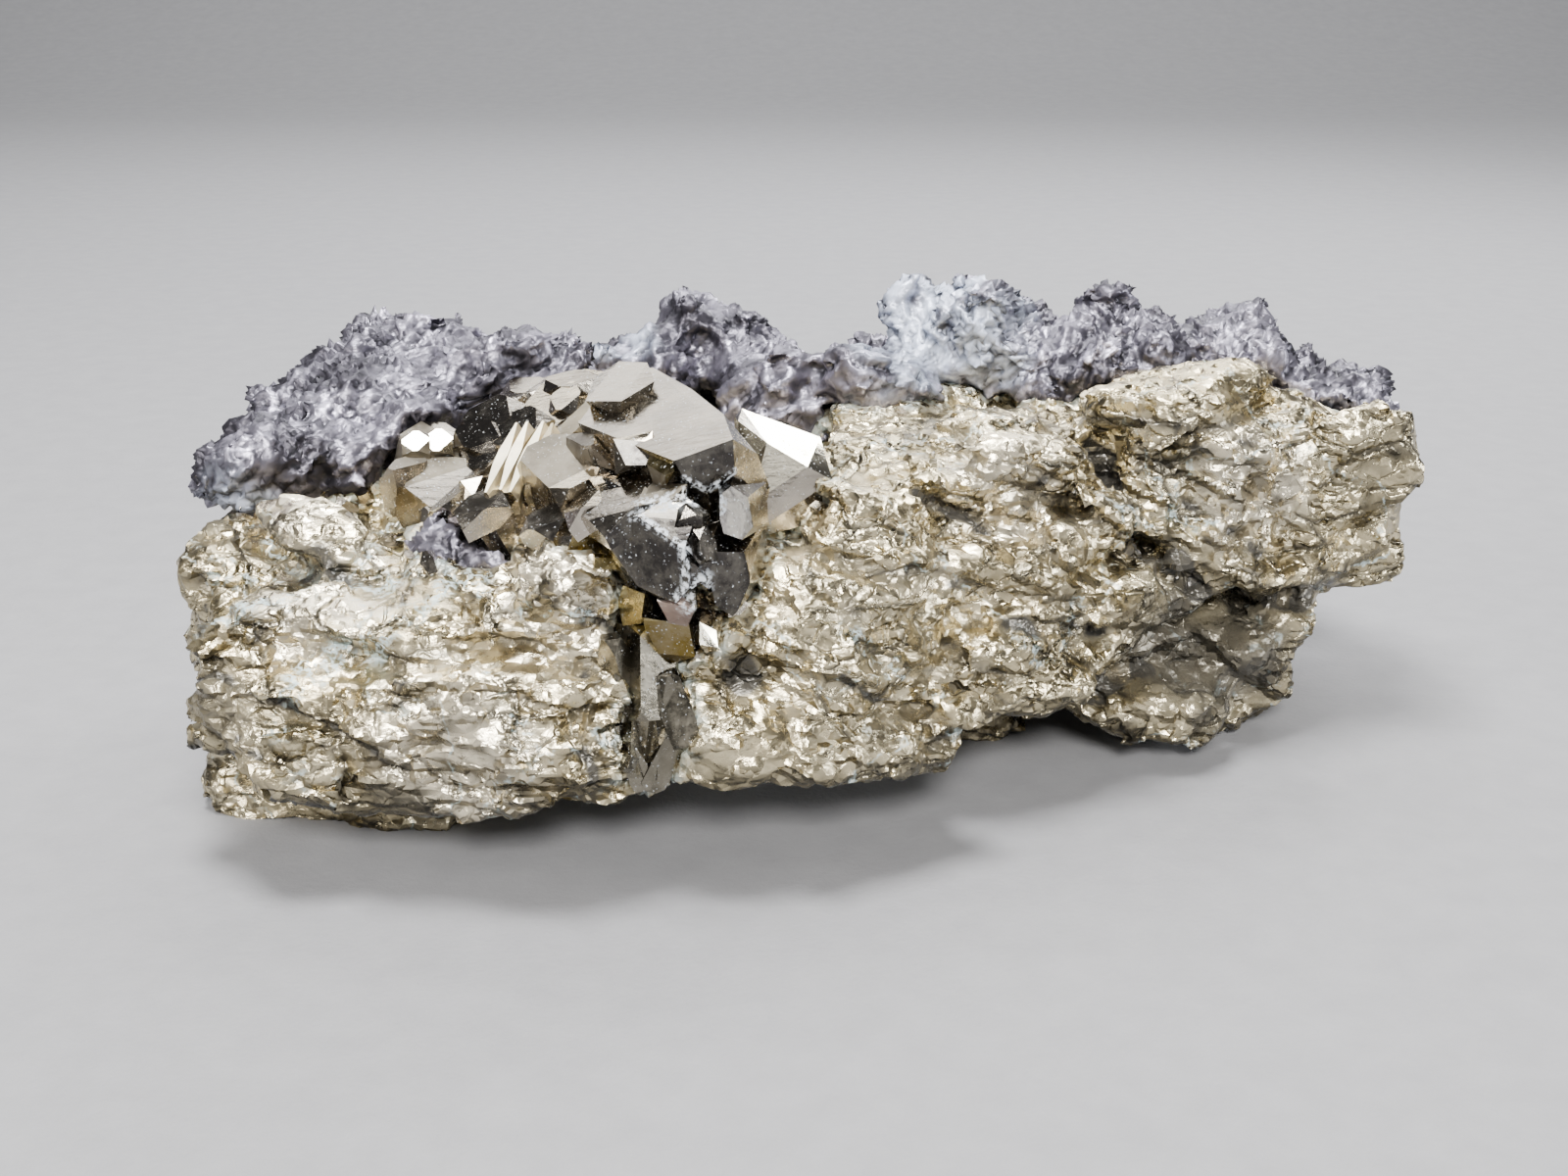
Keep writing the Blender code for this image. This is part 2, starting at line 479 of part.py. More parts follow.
FACETED_CRYSTALS = {
    "top": [
        (-2.8, -19.8, 27.2), (-6.0, -20.6, 26.2), (-7.5, -17.1, 26.6), (-10.3, -15.2, 26.3),
        (-12.0, -13.0, 26.3), (-10.0, -7.1, 28.1), (-7.9, -8.0, 28.4), (-5.4, -12.1, 28.1),
        (-3.4, -16.4, 27.7), (-5.5, -20.3, 25.1), (-4.2, -19.8, 24.2), (-2.7, -19.6, 25.3),
        (-1.5, -17.1, 25.6), (-0.8, -15.5, 23.1), (-1.4, -16.8, 23.1), (-9.5, -14.0, 21.0),
        (-9.5, -7.5, 20.0), (-4.0, -8.5, 20.0), (-1.6, -13.0, 19.0), (-4.0, -16.0, 19.0),
    ],
    "step": [
        (-10.0, -7.6, 28.7), (-8.2, -8.8, 28.9), (-7.6, -11.4, 28.4), (-9.4, -13.4, 27.7),
        (-11.6, -12.2, 27.4), (-11.4, -8.8, 28.0), (-9.4, -13.0, 26.6), (-8.0, -11.8, 27.2),
        (-11.4, -9.2, 26.0), (-8.6, -8.6, 26.0),
    ],
    "dark_tooth": [
        (-9.6, -17.2, 26.5), (-7.4, -16.9, 26.9), (-8.8, -18.7, 25.4), (-7.4, -17.9, 26.1),
        (-7.7, -18.7, 25.4), (-9.4, -18.4, 24.8), (-9.8, -15.0, 24.0), (-7.0, -15.0, 24.0),
    ],
    "olive_tooth": [
        (-7.4, -18.2, 26.2), (-6.1, -20.2, 26.0), (-7.6, -19.2, 25.6), (-6.0, -20.9, 25.7),
        (-6.5, -20.7, 25.4), (-7.0, -19.0, 23.6), (-5.4, -17.0, 24.0), (-7.4, -17.0, 24.0),
    ],
    "steep": [
        (-2.9, -20.4, 24.7), (-1.7, -20.2, 22.3), (-3.5, -21.6, 23.2), (-2.0, -19.9, 23.9),
        (-2.3, -21.0, 21.8), (-3.3, -21.7, 22.4), (-3.5, -21.1, 24.4), (-4.0, -16.0, 24.4),
        (-1.0, -16.0, 23.6), (-0.9, -17.0, 21.4), (-4.0, -16.0, 21.4),
    ],
    "long": [
        (-3.7, -21.6, 21.3), (-2.2, -20.8, 21.0), (-1.9, -20.5, 19.6), (-1.9, -20.6, 19.1),
        (-2.6, -20.8, 17.5), (-3.8, -21.5, 18.1), (-4.1, -21.8, 19.8), (-4.0, -15.0, 21.6),
        (-1.0, -15.0, 21.4), (-1.0, -15.0, 17.6), (-4.0, -15.0, 16.6), (-2.9, -20.8, 17.2),
    ],
    "wedge": [
        (-5.3, -23.0, 22.0), (-4.9, -22.2, 22.7), (-4.1, -22.3, 21.6), (-4.6, -22.8, 21.0),
        (-4.8, -21.6, 20.2), (-5.4, -20.0, 22.6), (-3.6, -20.0, 22.6), (-4.0, -20.0, 19.8),
    ],
    "large": [
        (-9.9, -20.6, 22.0), (-9.3, -20.9, 23.0), (-8.0, -21.7, 23.4), (-5.4, -23.2, 22.0),
        (-5.2, -23.3, 19.8), (-5.9, -22.9, 18.8), (-6.7, -22.4, 18.9), (-8.1, -21.6, 19.3),
        (-9.6, -20.8, 21.2), (-4.9, -22.0, 23.2), (-5.0, -21.0, 24.0), (-5.8, -20.5, 24.4),
        (-11.8, -17.5, 22.4), (-11.0, -18.6, 22.8), (-10.5, -17.7, 23.1), (-8.6, -18.0, 23.7),
        (-8.9, -18.9, 18.2), (-4.6, -19.0, 19.0), (-9.0, -13.0, 19.0), (-4.6, -13.0, 19.0),
        (-9.0, -13.0, 23.0), (-4.6, -13.0, 23.6),
    ],
    "ledge": [
        (-8.6, -18.0, 24.3), (-5.3, -20.7, 24.9), (-6.9, -17.6, 24.9), (-7.9, -20.2, 24.1),
        (-7.8, -20.9, 23.6), (-5.4, -21.1, 24.2), (-10.4, -16.4, 24.0), (-9.6, -18.4, 23.6),
        (-8.0, -14.0, 22.0), (-5.0, -14.0, 22.0),
    ],
    "pink": [
        (-7.0, -22.3, 18.7), (-4.9, -22.6, 18.3), (-5.4, -21.6, 16.9), (-6.4, -21.4, 17.0),
        (-7.0, -21.2, 19.4), (-4.9, -21.2, 19.4), (-6.6, -17.0, 16.4), (-4.6, -17.0, 16.4),
        (-6.0, -16.0, 20.0),
    ],
    "olive": [
        (-9.0, -20.4, 18.9), (-7.7, -21.8, 18.9), (-8.0, -21.4, 17.0), (-9.1, -20.2, 16.4),
        (-9.4, -19.9, 17.7), (-7.0, -19.0, 19.4), (-7.2, -18.0, 16.2), (-9.4, -16.0, 16.8),
        (-8.0, -16.0, 19.0),
    ],
    "mirror": [
        (-4.7, -21.7, 17.2), (-3.8, -21.2, 16.5), (-4.7, -22.1, 16.0), (-3.7, -21.5, 15.6),
        (-4.6, -20.6, 17.6), (-3.4, -19.0, 16.8), (-5.2, -20.6, 15.6), (-4.4, -20.4, 14.8),
        (-3.6, -18.0, 15.0), (-5.0, -17.0, 16.4),
    ],
    "amber": [
        (-7.9, -21.0, 17.2), (-5.3, -21.6, 17.0), (-5.0, -21.4, 15.0), (-7.6, -20.8, 15.0),
        (-6.6, -20.6, 14.2), (-7.8, -17.0, 17.4), (-4.8, -17.0, 17.4), (-6.4, -16.0, 14.0),
    ],
    "bright": [
        (-2.5, -10.5, 26.5), (2.2, -8.5, 24.2), (2.9, -12.0, 22.5), (1.4, -12.2, 23.4),
        (-1.0, -12.3, 24.9), (-2.7, -11.8, 26.1), (-3.0, -9.0, 25.6), (1.8, -7.4, 22.6),
        (-3.0, -8.0, 19.0), (1.8, -7.6, 19.0), (2.6, -11.8, 20.0), (-2.6, -13.0, 19.0),
    ],
}

BLOCK_CRYSTALS = [
    # centre, size, turn, corner
    ((-12.6, -13.6, 22.4), (3.6, 5.4, 4.4), (14, -18, 30), 0.30),
    ((-14.9, -9.4, 21.2), (2.2, 10.5, 3.6), (22, -14, -38), 0.20),
    ((-13.4, -8.4, 22.2), (1.8, 10.5, 3.8), (22, -10, -38), 0.20),
    ((-16.6, -9.6, 20.4), (2.0, 8.5, 3.6), (20, -22, -38), 0.20),
    ((-18.4, -8.2, 20.0), (2.2, 7.5, 3.6), (18, -26, -36), 0.25),
    ((-12.6, -3.0, 22.8), (6.0, 7.0, 5.0), (18, -16, 16), 0.35),
    ((-15.4, 0.4, 22.2), (5.6, 6.0, 4.6), (12, -6, -24), 0.35),
    ((-9.4, -1.4, 22.6), (6.0, 6.6, 5.0), (14, 14, 30), 0.30),
    ((-17.6, -3.8, 21.2), (4.4, 5.6, 4.4), (22, -26, 8), 0.40),
    ((-22.6, -3.4, 20.4), (4.6, 5.0, 4.4), (26, 10, 20), 0.40),
    ((-21.0, -7.0, 19.2), (4.6, 5.0, 4.2), (18, -12, 44), 0.35),
    ((-11.8, -16.8, 20.6), (3.0, 4.0, 3.2), (10, -24, 24), 0.35),
    ((-8.4, -19.4, 13.4), (2.6, 4.6, 5.4), (-14, 10, 36), 0.25),
    ((-9.4, -20.0, 9.8), (2.4, 4.2, 5.0), (-12, 16, 46), 0.30),
    ((-7.4, -20.4, 8.8), (1.6, 3.4, 3.8), (8, 26, 24), 0.30),
    ((-6.4, -20.0, 11.4), (1.8, 3.6, 4.4), (-16, -18, 14), 0.30),
]


def crystal_cluster(name, swell):
    """All the crystals of the cluster in one mesh, each face moved out by swell."""
    mesh = bpy.data.meshes.new(name)
    for corners in FACETED_CRYSTALS.values():
        crystal(mesh, corners, swell)
    for centre, size, turn, corner in BLOCK_CRYSTALS:
        block_crystal(mesh, centre, size, turn, corner, swell)
    return mesh


def join_shells(made):
    """Unites the overlapping crystals of one mesh into a single solid."""
    empty = bpy.data.meshes.new("nothing")
    anchor = as_cutter(made.name + "_anchor", empty)
    boolean = made.modifiers.new("unite", "BOOLEAN")
    boolean.operation = "UNION"
    boolean.solver = "EXACT"
    boolean.use_self = True
    boolean.object = anchor
    settle(made)
    bpy.data.objects.remove(anchor)
    shape = bmesh.new()
    shape.from_mesh(made.data)
    bmesh.ops.dissolve_limit(
        shape, angle_limit=FLATNESS, verts=shape.verts, edges=shape.edges
    )
    shape.to_mesh(made.data)
    shape.free()
    mend(made)


def pyrite_crystals(material):
    """The faceted cluster, grown together into one solid."""
    made = new_object("pyrite_crystals", crystal_cluster("pyrite_crystals", 0.0))
    join_shells(made)
    keep_largest(made)
    made.data.materials.clear()
    made.data.materials.append(material)
    return made


def crystal_socket():
    """What the cluster takes up in the mass, with the gap around it."""
    cutter = as_cutter("crystal_socket", crystal_cluster("crystal_socket", GAP))
    join_shells(cutter)
    return cutter


# Franckeite crusts

CRUSTS = {
    "franckeite_crust_left": [
        # centre, size, turn
        ((-32.6, -1.0, 19.8), (8.5, 9.5, 7.5), (0, 20, 0)),
        ((-28.6, -0.6, 20.6), (9.0, 9.0, 6.5), (0, 0, 10)),
        ((-24.6, 2.0, 21.0), (7.5, 9.0, 7.0), (0, 0, 0)),
        ((-29.2, 5.0, 23.0), (8.5, 7.5, 6.5), (0, 0, 0)),
        ((-27.2, 10.0, 24.0), (8.5, 7.5, 6.8), (0, -6, 0)),
        ((-22.4, 8.0, 23.2), (9.0, 8.0, 5.6), (0, 0, 0)),
        ((-17.6, 8.6, 22.8), (9.0, 8.0, 5.4), (0, 0, 12)),
        ((-33.0, 7.5, 19.0), (7.0, 10.0, 8.0), (0, 10, 0)),
        ((-30.0, 13.5, 18.5), (10.0, 8.0, 9.0), (0, 0, 0)),
    ],
    "franckeite_crust_back": [
        ((-5.0, 21.5, 22.6), (10.0, 7.5, 6.6), (0, 0, 0)),
        ((-10.5, 18.5, 21.4), (9.0, 8.0, 5.0), (0, 0, 0)),
        ((0.5, 14.5, 20.8), (12.0, 11.0, 6.0), (0, 0, 0)),
        ((7.0, 12.0, 21.8), (9.0, 9.0, 5.6), (0, 0, 0)),
        ((14.5, 16.5, 24.0), (11.5, 10.5, 7.6), (0, 0, 0)),
        ((20.0, 13.5, 22.4), (8.0, 9.0, 5.6), (0, 0, 0)),
        ((9.5, 21.5, 19.5), (14.0, 8.0, 8.0), (20, 0, 0)),
        ((-4.0, 24.0, 17.0), (13.0, 5.0, 9.0), (10, 0, 0)),
        ((25.4, 13.0, 24.2), (10.0, 9.0, 5.2), (0, -8, 0)),
        ((31.8, 12.8, 24.2), (7.5, 8.5, 5.6), (0, 0, 0)),
        ((37.4, 11.4, 21.8), (6.5, 8.0, 4.4), (0, 12, 0)),
        ((40.6, 9.6, 19.8), (6.6, 8.5, 5.0), (0, 16, 0)),
        ((34.0, 17.5, 20.0), (12.0, 8.0, 8.0), (14, 0, -20)),
    ],
    "franckeite_patch": [
        ((-18.2, -12.6, 18.0), (5.4, 4.4, 4.0), (0, 0, -10)),
        ((-20.2, -12.8, 17.8), (3.8, 3.8, 3.4), (0, 0, 0)),
    ],
}


def surface_area(made):
    """Area of a mesh in square millimetres."""
    return sum(face.area for face in made.data.polygons) / MM**2


def franckeite_crust(name, lumps, material, cutters):
    """A crust of fused lumps, roughened, and cut to sit on what it grew over."""
    rolls = random.Random(len(lumps))
    mesh = bpy.data.meshes.new(name)
    for centre, size, turn in lumps:
        pebble(mesh, centre, size, turn)
        for _ in range(CURLS_PER_LUMP):
            away = Vector((rolls.uniform(-1, 1), rolls.uniform(-1, 1), rolls.uniform(0, 1)))
            reach = away.normalized() * 0.5
            spot = [middle + part * side for middle, part, side in zip(centre, reach, size)]
            curl = Vector(size) * rolls.uniform(*CURL_SHARE)
            turn = [rolls.uniform(0, 180) for _ in range(3)]
            chunk(mesh, spot, curl, turn, rolls.randrange(1000), cuts=6, trim=0.6)
    made = new_object(name, mesh)
    fuse(made, CRUST_VOXEL)
    roughen(made, grain(name + "_folds", "VORONOI", FOLDS[0]), FOLDS[1])
    roughen(made, grain(name + "_crumple", "CLOUDS", CRUMPLE[0]), CRUMPLE[1])
    fuse(made, CLEAN_VOXEL)
    settle(made)
    for cutter in cutters:
        cut_away(made, cutter)
    keep_largest(made)
    thin_out(made, CRUST_TRIANGLES_PER_MM2 * surface_area(made))
    made.data.materials.clear()
    made.data.materials.append(material)
    return made


def centre_on_origin(pieces):
    """Moves the specimen so that the middle of its box stands over the origin."""
    points = [piece.matrix_world @ vert.co for piece in pieces for vert in piece.data.vertices]
    middle_x = 0.5 * (min(p.x for p in points) + max(p.x for p in points))
    middle_y = 0.5 * (min(p.y for p in points) + max(p.y for p in points))
    for piece in pieces:
        piece.data.transform(Matrix.Translation((-middle_x, -middle_y, 0.0)))
    return -middle_x, -middle_y


def main():
    clear_scene()
    brass = mineral("pyrite", (0.56, 0.46, 0.27), 0.36, 1.0)
    mirror_brass = mineral("pyrite crystal", (0.60, 0.52, 0.34), 0.12, 1.0)
    lead_grey = mineral("franckeite", (0.17, 0.17, 0.19), 0.38, 0.8)

    crystals = pyrite_crystals(mirror_brass)
    socket = crystal_socket()
    mass = pyrite_mass(brass)
    cut_away(mass, socket)
    cut_flat_underneath(mass)
    keep_largest(mass)
    mend(mass)

    mass_clearance = clearance(mass, CRUST_GAP)
    crusts = [
        franckeite_crust(name, lumps, lead_grey, [mass_clearance, socket])
        for name, lumps in CRUSTS.items()
    ]
    return centre_on_origin([mass, crystals, *crusts])


SHIFT = main()
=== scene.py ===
"""A hand specimen of franckeite on pyrite, dressed over its solids: the hackly pyrite mass, the
cluster of pyrite crystals, the crumpled franckeite, and the table and lights that show it."""

import math
import random

import bpy
import numpy as np
from mathutils import Euler, Matrix, Vector, noise
from mathutils.bvhtree import BVHTree


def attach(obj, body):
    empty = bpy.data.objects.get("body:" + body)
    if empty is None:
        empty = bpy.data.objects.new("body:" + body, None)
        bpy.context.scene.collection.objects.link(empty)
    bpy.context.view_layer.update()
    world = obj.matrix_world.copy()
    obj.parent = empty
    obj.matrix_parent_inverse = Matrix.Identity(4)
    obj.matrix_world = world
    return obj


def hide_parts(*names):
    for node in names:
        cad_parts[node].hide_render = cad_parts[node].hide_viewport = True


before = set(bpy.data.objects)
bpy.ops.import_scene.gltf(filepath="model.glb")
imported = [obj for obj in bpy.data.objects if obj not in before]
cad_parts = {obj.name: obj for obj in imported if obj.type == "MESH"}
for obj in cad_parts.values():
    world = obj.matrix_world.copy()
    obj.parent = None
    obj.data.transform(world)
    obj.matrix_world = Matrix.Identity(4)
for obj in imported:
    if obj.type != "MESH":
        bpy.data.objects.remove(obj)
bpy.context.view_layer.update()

# Broken pyrite
# Massive pyrite, pale brass, broken by a hammer. Its fracture is hackly: small curved flakes
# and ledges that overlap, near level in the front left block and climbing to the right
# elsewhere, with a pale blue-green film in its cracks.
# Its colour is painted darker as painted shade in its clefts, notches, grooves, hollows and
# down-facing flakes, and paler as painted light on a few spots.

MM = 0.001
MASS_VOXEL = 0.26 * MM
MASS_TRIANGLES = 190000
MASS_PROUD = 0.8 * MM
LEFT_LAY = (1.0, 1.0, 2.2)
RIGHT_LAY = (1.0, 1.0, 2.4)
LEFT_RISE = math.radians(-4)
RIGHT_RISE = math.radians(-26)
SHIFT = Vector((-2.8117, -1.3478, 0.0)) * MM
TERRACE_DROP = 0.12
NOTCH_WIDTH = 0.14
SEAM_REACH = 1.1 * MM
SEAM_FILL = 0.38 * MM
MASS_CRISP = math.radians(22)
WAVER_SEED = 3
BOLD_LEDGES = [(6.5, 1.5)]
FINE_LEDGES = [(3.0, 0.55), (1.5, 0.18)]
# Notches: period in mm and strength of the painted shade under the ledges.
BOLD_NOTCHES = [(6.5, 0.55)]
FINE_NOTCHES = [(3.0, 0.36)]
MASS_GRAIN = [(1.2, 0.08, 0.12, 0.05)]
CLEFT_WAVER = (1.6, 0.5)
FILM_WAVER = (1.2, 0.9)
SPLINTER_SPOTS = 900
LARGE_SPLINTERS = 300
LARGE_SPLINTER = ((4.0, 8.0), (2.4, 4.2), (1.3, 2.2))
SMALL_SPLINTER = ((1.8, 3.6), (1.2, 2.2), (0.8, 1.3))
SPLINTER_LIFT = 0.30
BARE_FORMS = [
    # middle of a form whose own faces stay crisp, in mm, and its reach
    ((-28.4, -11.6, 19.2), 5.6),
    ((-12.4, -19.4, 18.8), 3.8),
    ((-3.6, -22.8, 8.8), 3.2),
    ((43.5, 5.0, 16.0), 9.5),
    ((42.0, 3.0, 10.0), 6.0),
    ((-38.0, -7.0, 10.0), 7.0),
]
PAINTED_LIGHT_SPOTS = [
    # middle of a patch painted paler as painted light, where light falls on the pyrite, in mm, its
    # reach
    ((-12.4, -20.0, 19.0), 6.5),
    ((-18.5, -23.5, 9.5), 6.5),
    ((-27.0, -16.5, 17.5), 6.0),
    ((-29.5, -11.0, 19.8), 3.0),
    ((14.0, -6.0, 20.0), 5.0),
    ((31.0, -3.0, 19.0), 6.0),
]
CLEFTS = [
    # path along one of the clefts in mm, carved in and painted dark as painted shade, half its
    # width, depth
    ([(25.2, -3.4, 14.9), (26.8, -2.7, 12.9), (30.5, 1.2, 10.4), (34.6, 0.3, 10.4)], 1.3, 1.5),
    ([(23.3, -1.6, 21.9), (25.8, -1.7, 22.6), (27.0, -1.8, 21.4), (30.5, -1.4, 22.2)], 0.8, 0.7),
    ([(26.1, -2.0, 18.0), (29.2, -2.4, 16.2), (31.1, -1.7, 14.4), (34.6, -0.9, 13.6)], 0.8, 0.7),
    ([(20.1, 0.0, 21.5), (21.3, 1.8, 19.0), (21.8, -0.7, 18.0)], 1.1, 0.9),
    ([(22.3, -3.0, 15.9), (23.3, -3.3, 15.3), (25.2, -0.5, 13.5)], 1.3, 1.2),
    ([(9.7, -12.9, 14.4), (13.4, -12.0, 13.3), (17.1, -11.4, 12.7), (21.0, -5.6, 10.4)], 0.9, 0.9),
    ([(20.1, -4.8, 5.6), (21.6, -3.7, 6.0), (25.3, -1.8, 7.1)], 1.2, 1.2),
    ([(8.8, -18.5, 8.2), (10.8, -17.5, 8.3), (14.5, -14.5, 8.6)], 0.9, 0.8),
    ([(8.0, -10.1, 21.0), (10.1, -7.4, 19.2), (12.3, -7.3, 17.8)], 0.8, 0.7),
    ([(16.0, -5.7, 20.8), (18.3, -3.4, 19.4), (19.8, -3.2, 18.4)], 0.9, 0.8),
    ([(5.8, -14.1, 18.9), (8.1, -14.5, 17.2), (11.3, -12.5, 15.9)], 0.8, 0.7),
    ([(3.4, -20.3, 13.3), (5.8, -18.0, 10.5), (8.7, -17.1, 9.8)], 0.8, 0.7),
    ([(-35.7, -11.8, 15.8), (-35.6, -13.0, 14.3), (-33.9, -17.5, 14.7), (-33.7, -18.5, 12.6)],
     1.1, 1.2),
    ([(-33.2, -16.0, 14.8), (-30.5, -18.2, 15.0), (-27.1, -18.9, 14.5), (-24.7, -19.5, 14.6)],
     0.7, 0.6),
    ([(-32.9, -18.6, 12.6), (-30.3, -19.7, 12.2), (-28.0, -20.7, 11.6)], 0.8, 0.7),
    ([(-33.1, -19.7, 10.7), (-31.1, -20.5, 9.1), (-29.2, -21.6, 7.8)], 0.8, 0.7),
    ([(-22.6, -22.4, 12.0), (-20.6, -22.5, 13.0), (-19.9, -22.2, 13.6)], 0.6, 0.6),
    ([(-26.3, -21.6, 9.7), (-23.8, -22.7, 9.3), (-21.6, -23.1, 8.6)], 0.6, 0.5),
    ([(-32.6, -9.6, 18.4), (-31.4, -9.6, 17.4), (-29.0, -12.3, 17.0), (-26.1, -14.4, 17.2)],
     1.3, 1.1),
    ([(-13.1, -21.2, 17.0), (-10.9, -21.1, 16.7), (-9.7, -19.6, 16.0)], 0.8, 0.7),
    ([(-11.3, -20.9, 14.2), (-11.6, -21.9, 12.2), (-11.7, -23.4, 10.6), (-11.0, -23.2, 8.1)],
     0.9, 0.9),
]
PAINTED_SHADE_PATHS = [
    # path along a band of painted shade in mm, half its width, strength
    ([(-31.6, -10.6, 18.9), (-30.0, -11.6, 18.2), (-28.0, -13.2, 17.9)], 1.6, 0.7),
    ([(-33.4, -18.2, 12.0), (-32.0, -19.6, 9.6), (-30.0, -20.6, 7.0)], 3.2, 0.35),
    ([(26.8, -2.7, 12.4), (30.5, 0.8, 10.6), (34.6, 0.3, 10.6), (37.5, 0.5, 11.0)], 1.8, 0.6),
    ([(25.0, -3.0, 9.0), (29.0, -2.0, 6.0), (31.0, 0.0, 6.5)], 6.5, 0.46),
    ([(-2.8, -19.5, 14.0), (-2.4, -19.6, 13.0)], 1.7, 0.8),
    ([(20.6, 0.8, 20.2), (21.3, 1.8, 19.0), (21.8, -0.7, 18.0)], 1.5, 0.9),
    ([(3.4, -17.4, 16.4), (0.6, -18.6, 14.4)], 1.6, 0.4),
]
FILM_PATHS = [
    # path along a vein or a dusting of pale film in mm, its reach
    ([(-28.6, -20.6, 11.7), (-27.5, -19.8, 13.2), (-25.5, -19.5, 14.3), (-23.2, -19.4, 15.3),
      (-21.3, -18.9, 16.4), (-19.3, -16.8, 17.1), (-17.8, -15.6, 17.7)], 1.5),
    ([(-33.3, -17.3, 15.2), (-30.6, -17.5, 16.4), (-28.1, -16.1, 16.6), (-25.4, -15.5, 16.7),
      (-21.9, -15.5, 17.2), (-19.0, -15.5, 17.7)], 1.3),
    ([(-34.5, -4.1, 18.2), (-32.6, -7.5, 17.6), (-30.7, -10.3, 16.9), (-28.3, -12.6, 16.5),
      (-25.8, -14.3, 17.3), (-24.4, -12.5, 18.4)], 0.9),
    ([(-16.5, -22.1, 14.1), (-15.8, -22.5, 13.4), (-15.1, -22.7, 12.3), (-14.8, -23.6, 11.2),
      (-14.2, -24.2, 10.0), (-13.6, -23.8, 8.6)], 0.5),
    ([(-17.1, -16.9, 16.9), (-15.0, -19.3, 17.0), (-12.6, -21.3, 17.4), (-10.4, -21.0, 17.1)], 0.8),
    ([(-29.3, -20.4, 10.0), (-28.0, -21.5, 9.6), (-27.4, -21.9, 8.6), (-27.7, -22.1, 7.4)], 0.9),
    ([(3.4, -18.4, 15.6), (5.7, -17.4, 13.4), (7.7, -17.8, 12.3), (9.3, -16.8, 10.6)], 0.8),
    ([(21.0, -6.3, 18.9), (23.3, -2.7, 16.7), (25.6, -2.3, 16.9), (28.1, -2.7, 16.4)], 0.7),
]


def take_copy(node, name):
    """A copy of a CAD node, with the loose corners of its triangles merged."""
    bpy.ops.object.select_all(action="DESELECT")
    piece = bpy.data.objects.new(name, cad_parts[node].data.copy())
    piece.data.name = name
    bpy.context.scene.collection.objects.link(piece)
    piece.data.materials.clear()
    piece.select_set(True)
    bpy.context.view_layer.objects.active = piece
    bpy.ops.object.mode_set(mode="EDIT")
    bpy.ops.mesh.select_all(action="SELECT")
    bpy.ops.mesh.remove_doubles(threshold=0.00001)
    bpy.ops.object.mode_set(mode="OBJECT")
    return piece


def even_skin(piece, voxel):
    """Gives a copy an even, fine skin."""
    remesh = piece.modifiers.new("skin", "REMESH")
    remesh.mode = "VOXEL"
    remesh.voxel_size = voxel
    remesh.use_smooth_shade = True
    bpy.context.view_layer.objects.active = piece
    bpy.ops.object.modifier_apply(modifier=remesh.name)


def fracture(spot, grain, lay, rise, shape, offset):
    """Height of a broken surface at a spot. Each grain is a low dome, tilted its own way and at
    a level of its own. lay squeezes the grains, so that they lie as flakes, and rise leans them."""
    dome, tilt, step = shape
    cosine, sine = math.cos(rise), math.sin(rise)
    x = (spot.x * cosine + spot.z * sine) * lay[0]
    z = (spot.z * cosine - spot.x * sine) * lay[2]
    place = Vector((x, spot.y * lay[1], z)) / grain + offset
    distances, seeds = noise.voronoi(place)
    seed = seeds[0]
    lean = noise.cell_vector(seed * 53.7) - Vector((0.5, 0.5, 0.5))
    level = noise.cell(seed * 91.3) - 0.5
    rounding = 0.3 - distances[0] ** 2
    return grain * (dome * rounding + 2.0 * tilt * lean.dot(place - seed) + step * level)


def corners_of(piece):
    """The places of a mesh's corners, and the directions that they face."""
    count = len(piece.data.vertices)
    places = np.zeros(count * 3)
    facing = np.zeros(count * 3)
    piece.data.vertices.foreach_get("co", places)
    piece.data.vertex_normals.foreach_get("vector", facing)
    return places.reshape(-1, 3), facing.reshape(-1, 3)


def push_out(piece, heights):
    """Moves each corner of a mesh by its height along the way that it faces."""
    places, facing = corners_of(piece)
    places += facing * np.array(heights)[:, None]
    piece.data.vertices.foreach_set("co", places.ravel())
    piece.data.update()


def break_up(piece, layers, lay_of, calm=0.0):
    """Breaks a skin up by layers of fracture, coarse to fine, and less where it is calm."""
    for number, (grain, *shape) in enumerate(layers):
        offset = Vector((17.3 * number, 5.1 * number, 9.7 * number))
        places, _ = corners_of(piece)
        heights = []
        for place in places:
            spot = Vector(place)
            lay, rise = lay_of(spot)
            heights.append(fracture(spot, grain * MM, lay, rise, shape, offset))
        push_out(piece, np.array(heights) * (1.0 - calm))


def terrace(spot, period, rise, offset):
    """Where a spot lies between the notches of ledges that overlap like shingles, from 0 just
    over one notch to 1 under the next, and how bold the ledge is. The ledges follow the rise,
    waver, and break off at the sides of blocks."""
    cosine, sine = math.cos(rise), math.sin(rise)
    along = (spot.x * cosine + spot.z * sine) / period
    across = (spot.z * cosine - spot.x * sine) / period
    _, seeds = noise.voronoi(Vector((along * 0.30, spot.y / period * 0.30, across * 0.42)) + offset)
    across += 0.8 * noise.cell(seeds[0] * 71.9)
    across += 0.8 * noise.noise(spot / (2.6 * period) + offset) + 0.12 * noise.noise(
        spot / (0.8 * period) + offset)
    return across - math.floor(across), 0.65 + 0.7 * noise.cell(seeds[0] * 13.1)


def terraces(piece, period, lay_of, number):
    """The terrace of each corner of a mesh, as two lists."""
    offset = Vector((3.7 * number, 8.1 * number, 4.9 * number))
    places, _ = corners_of(piece)
    found = []
    for place in places:
        spot = Vector(place)
        found.append(terrace(spot, period * MM, lay_of(spot)[1], offset))
    return np.array(found).T


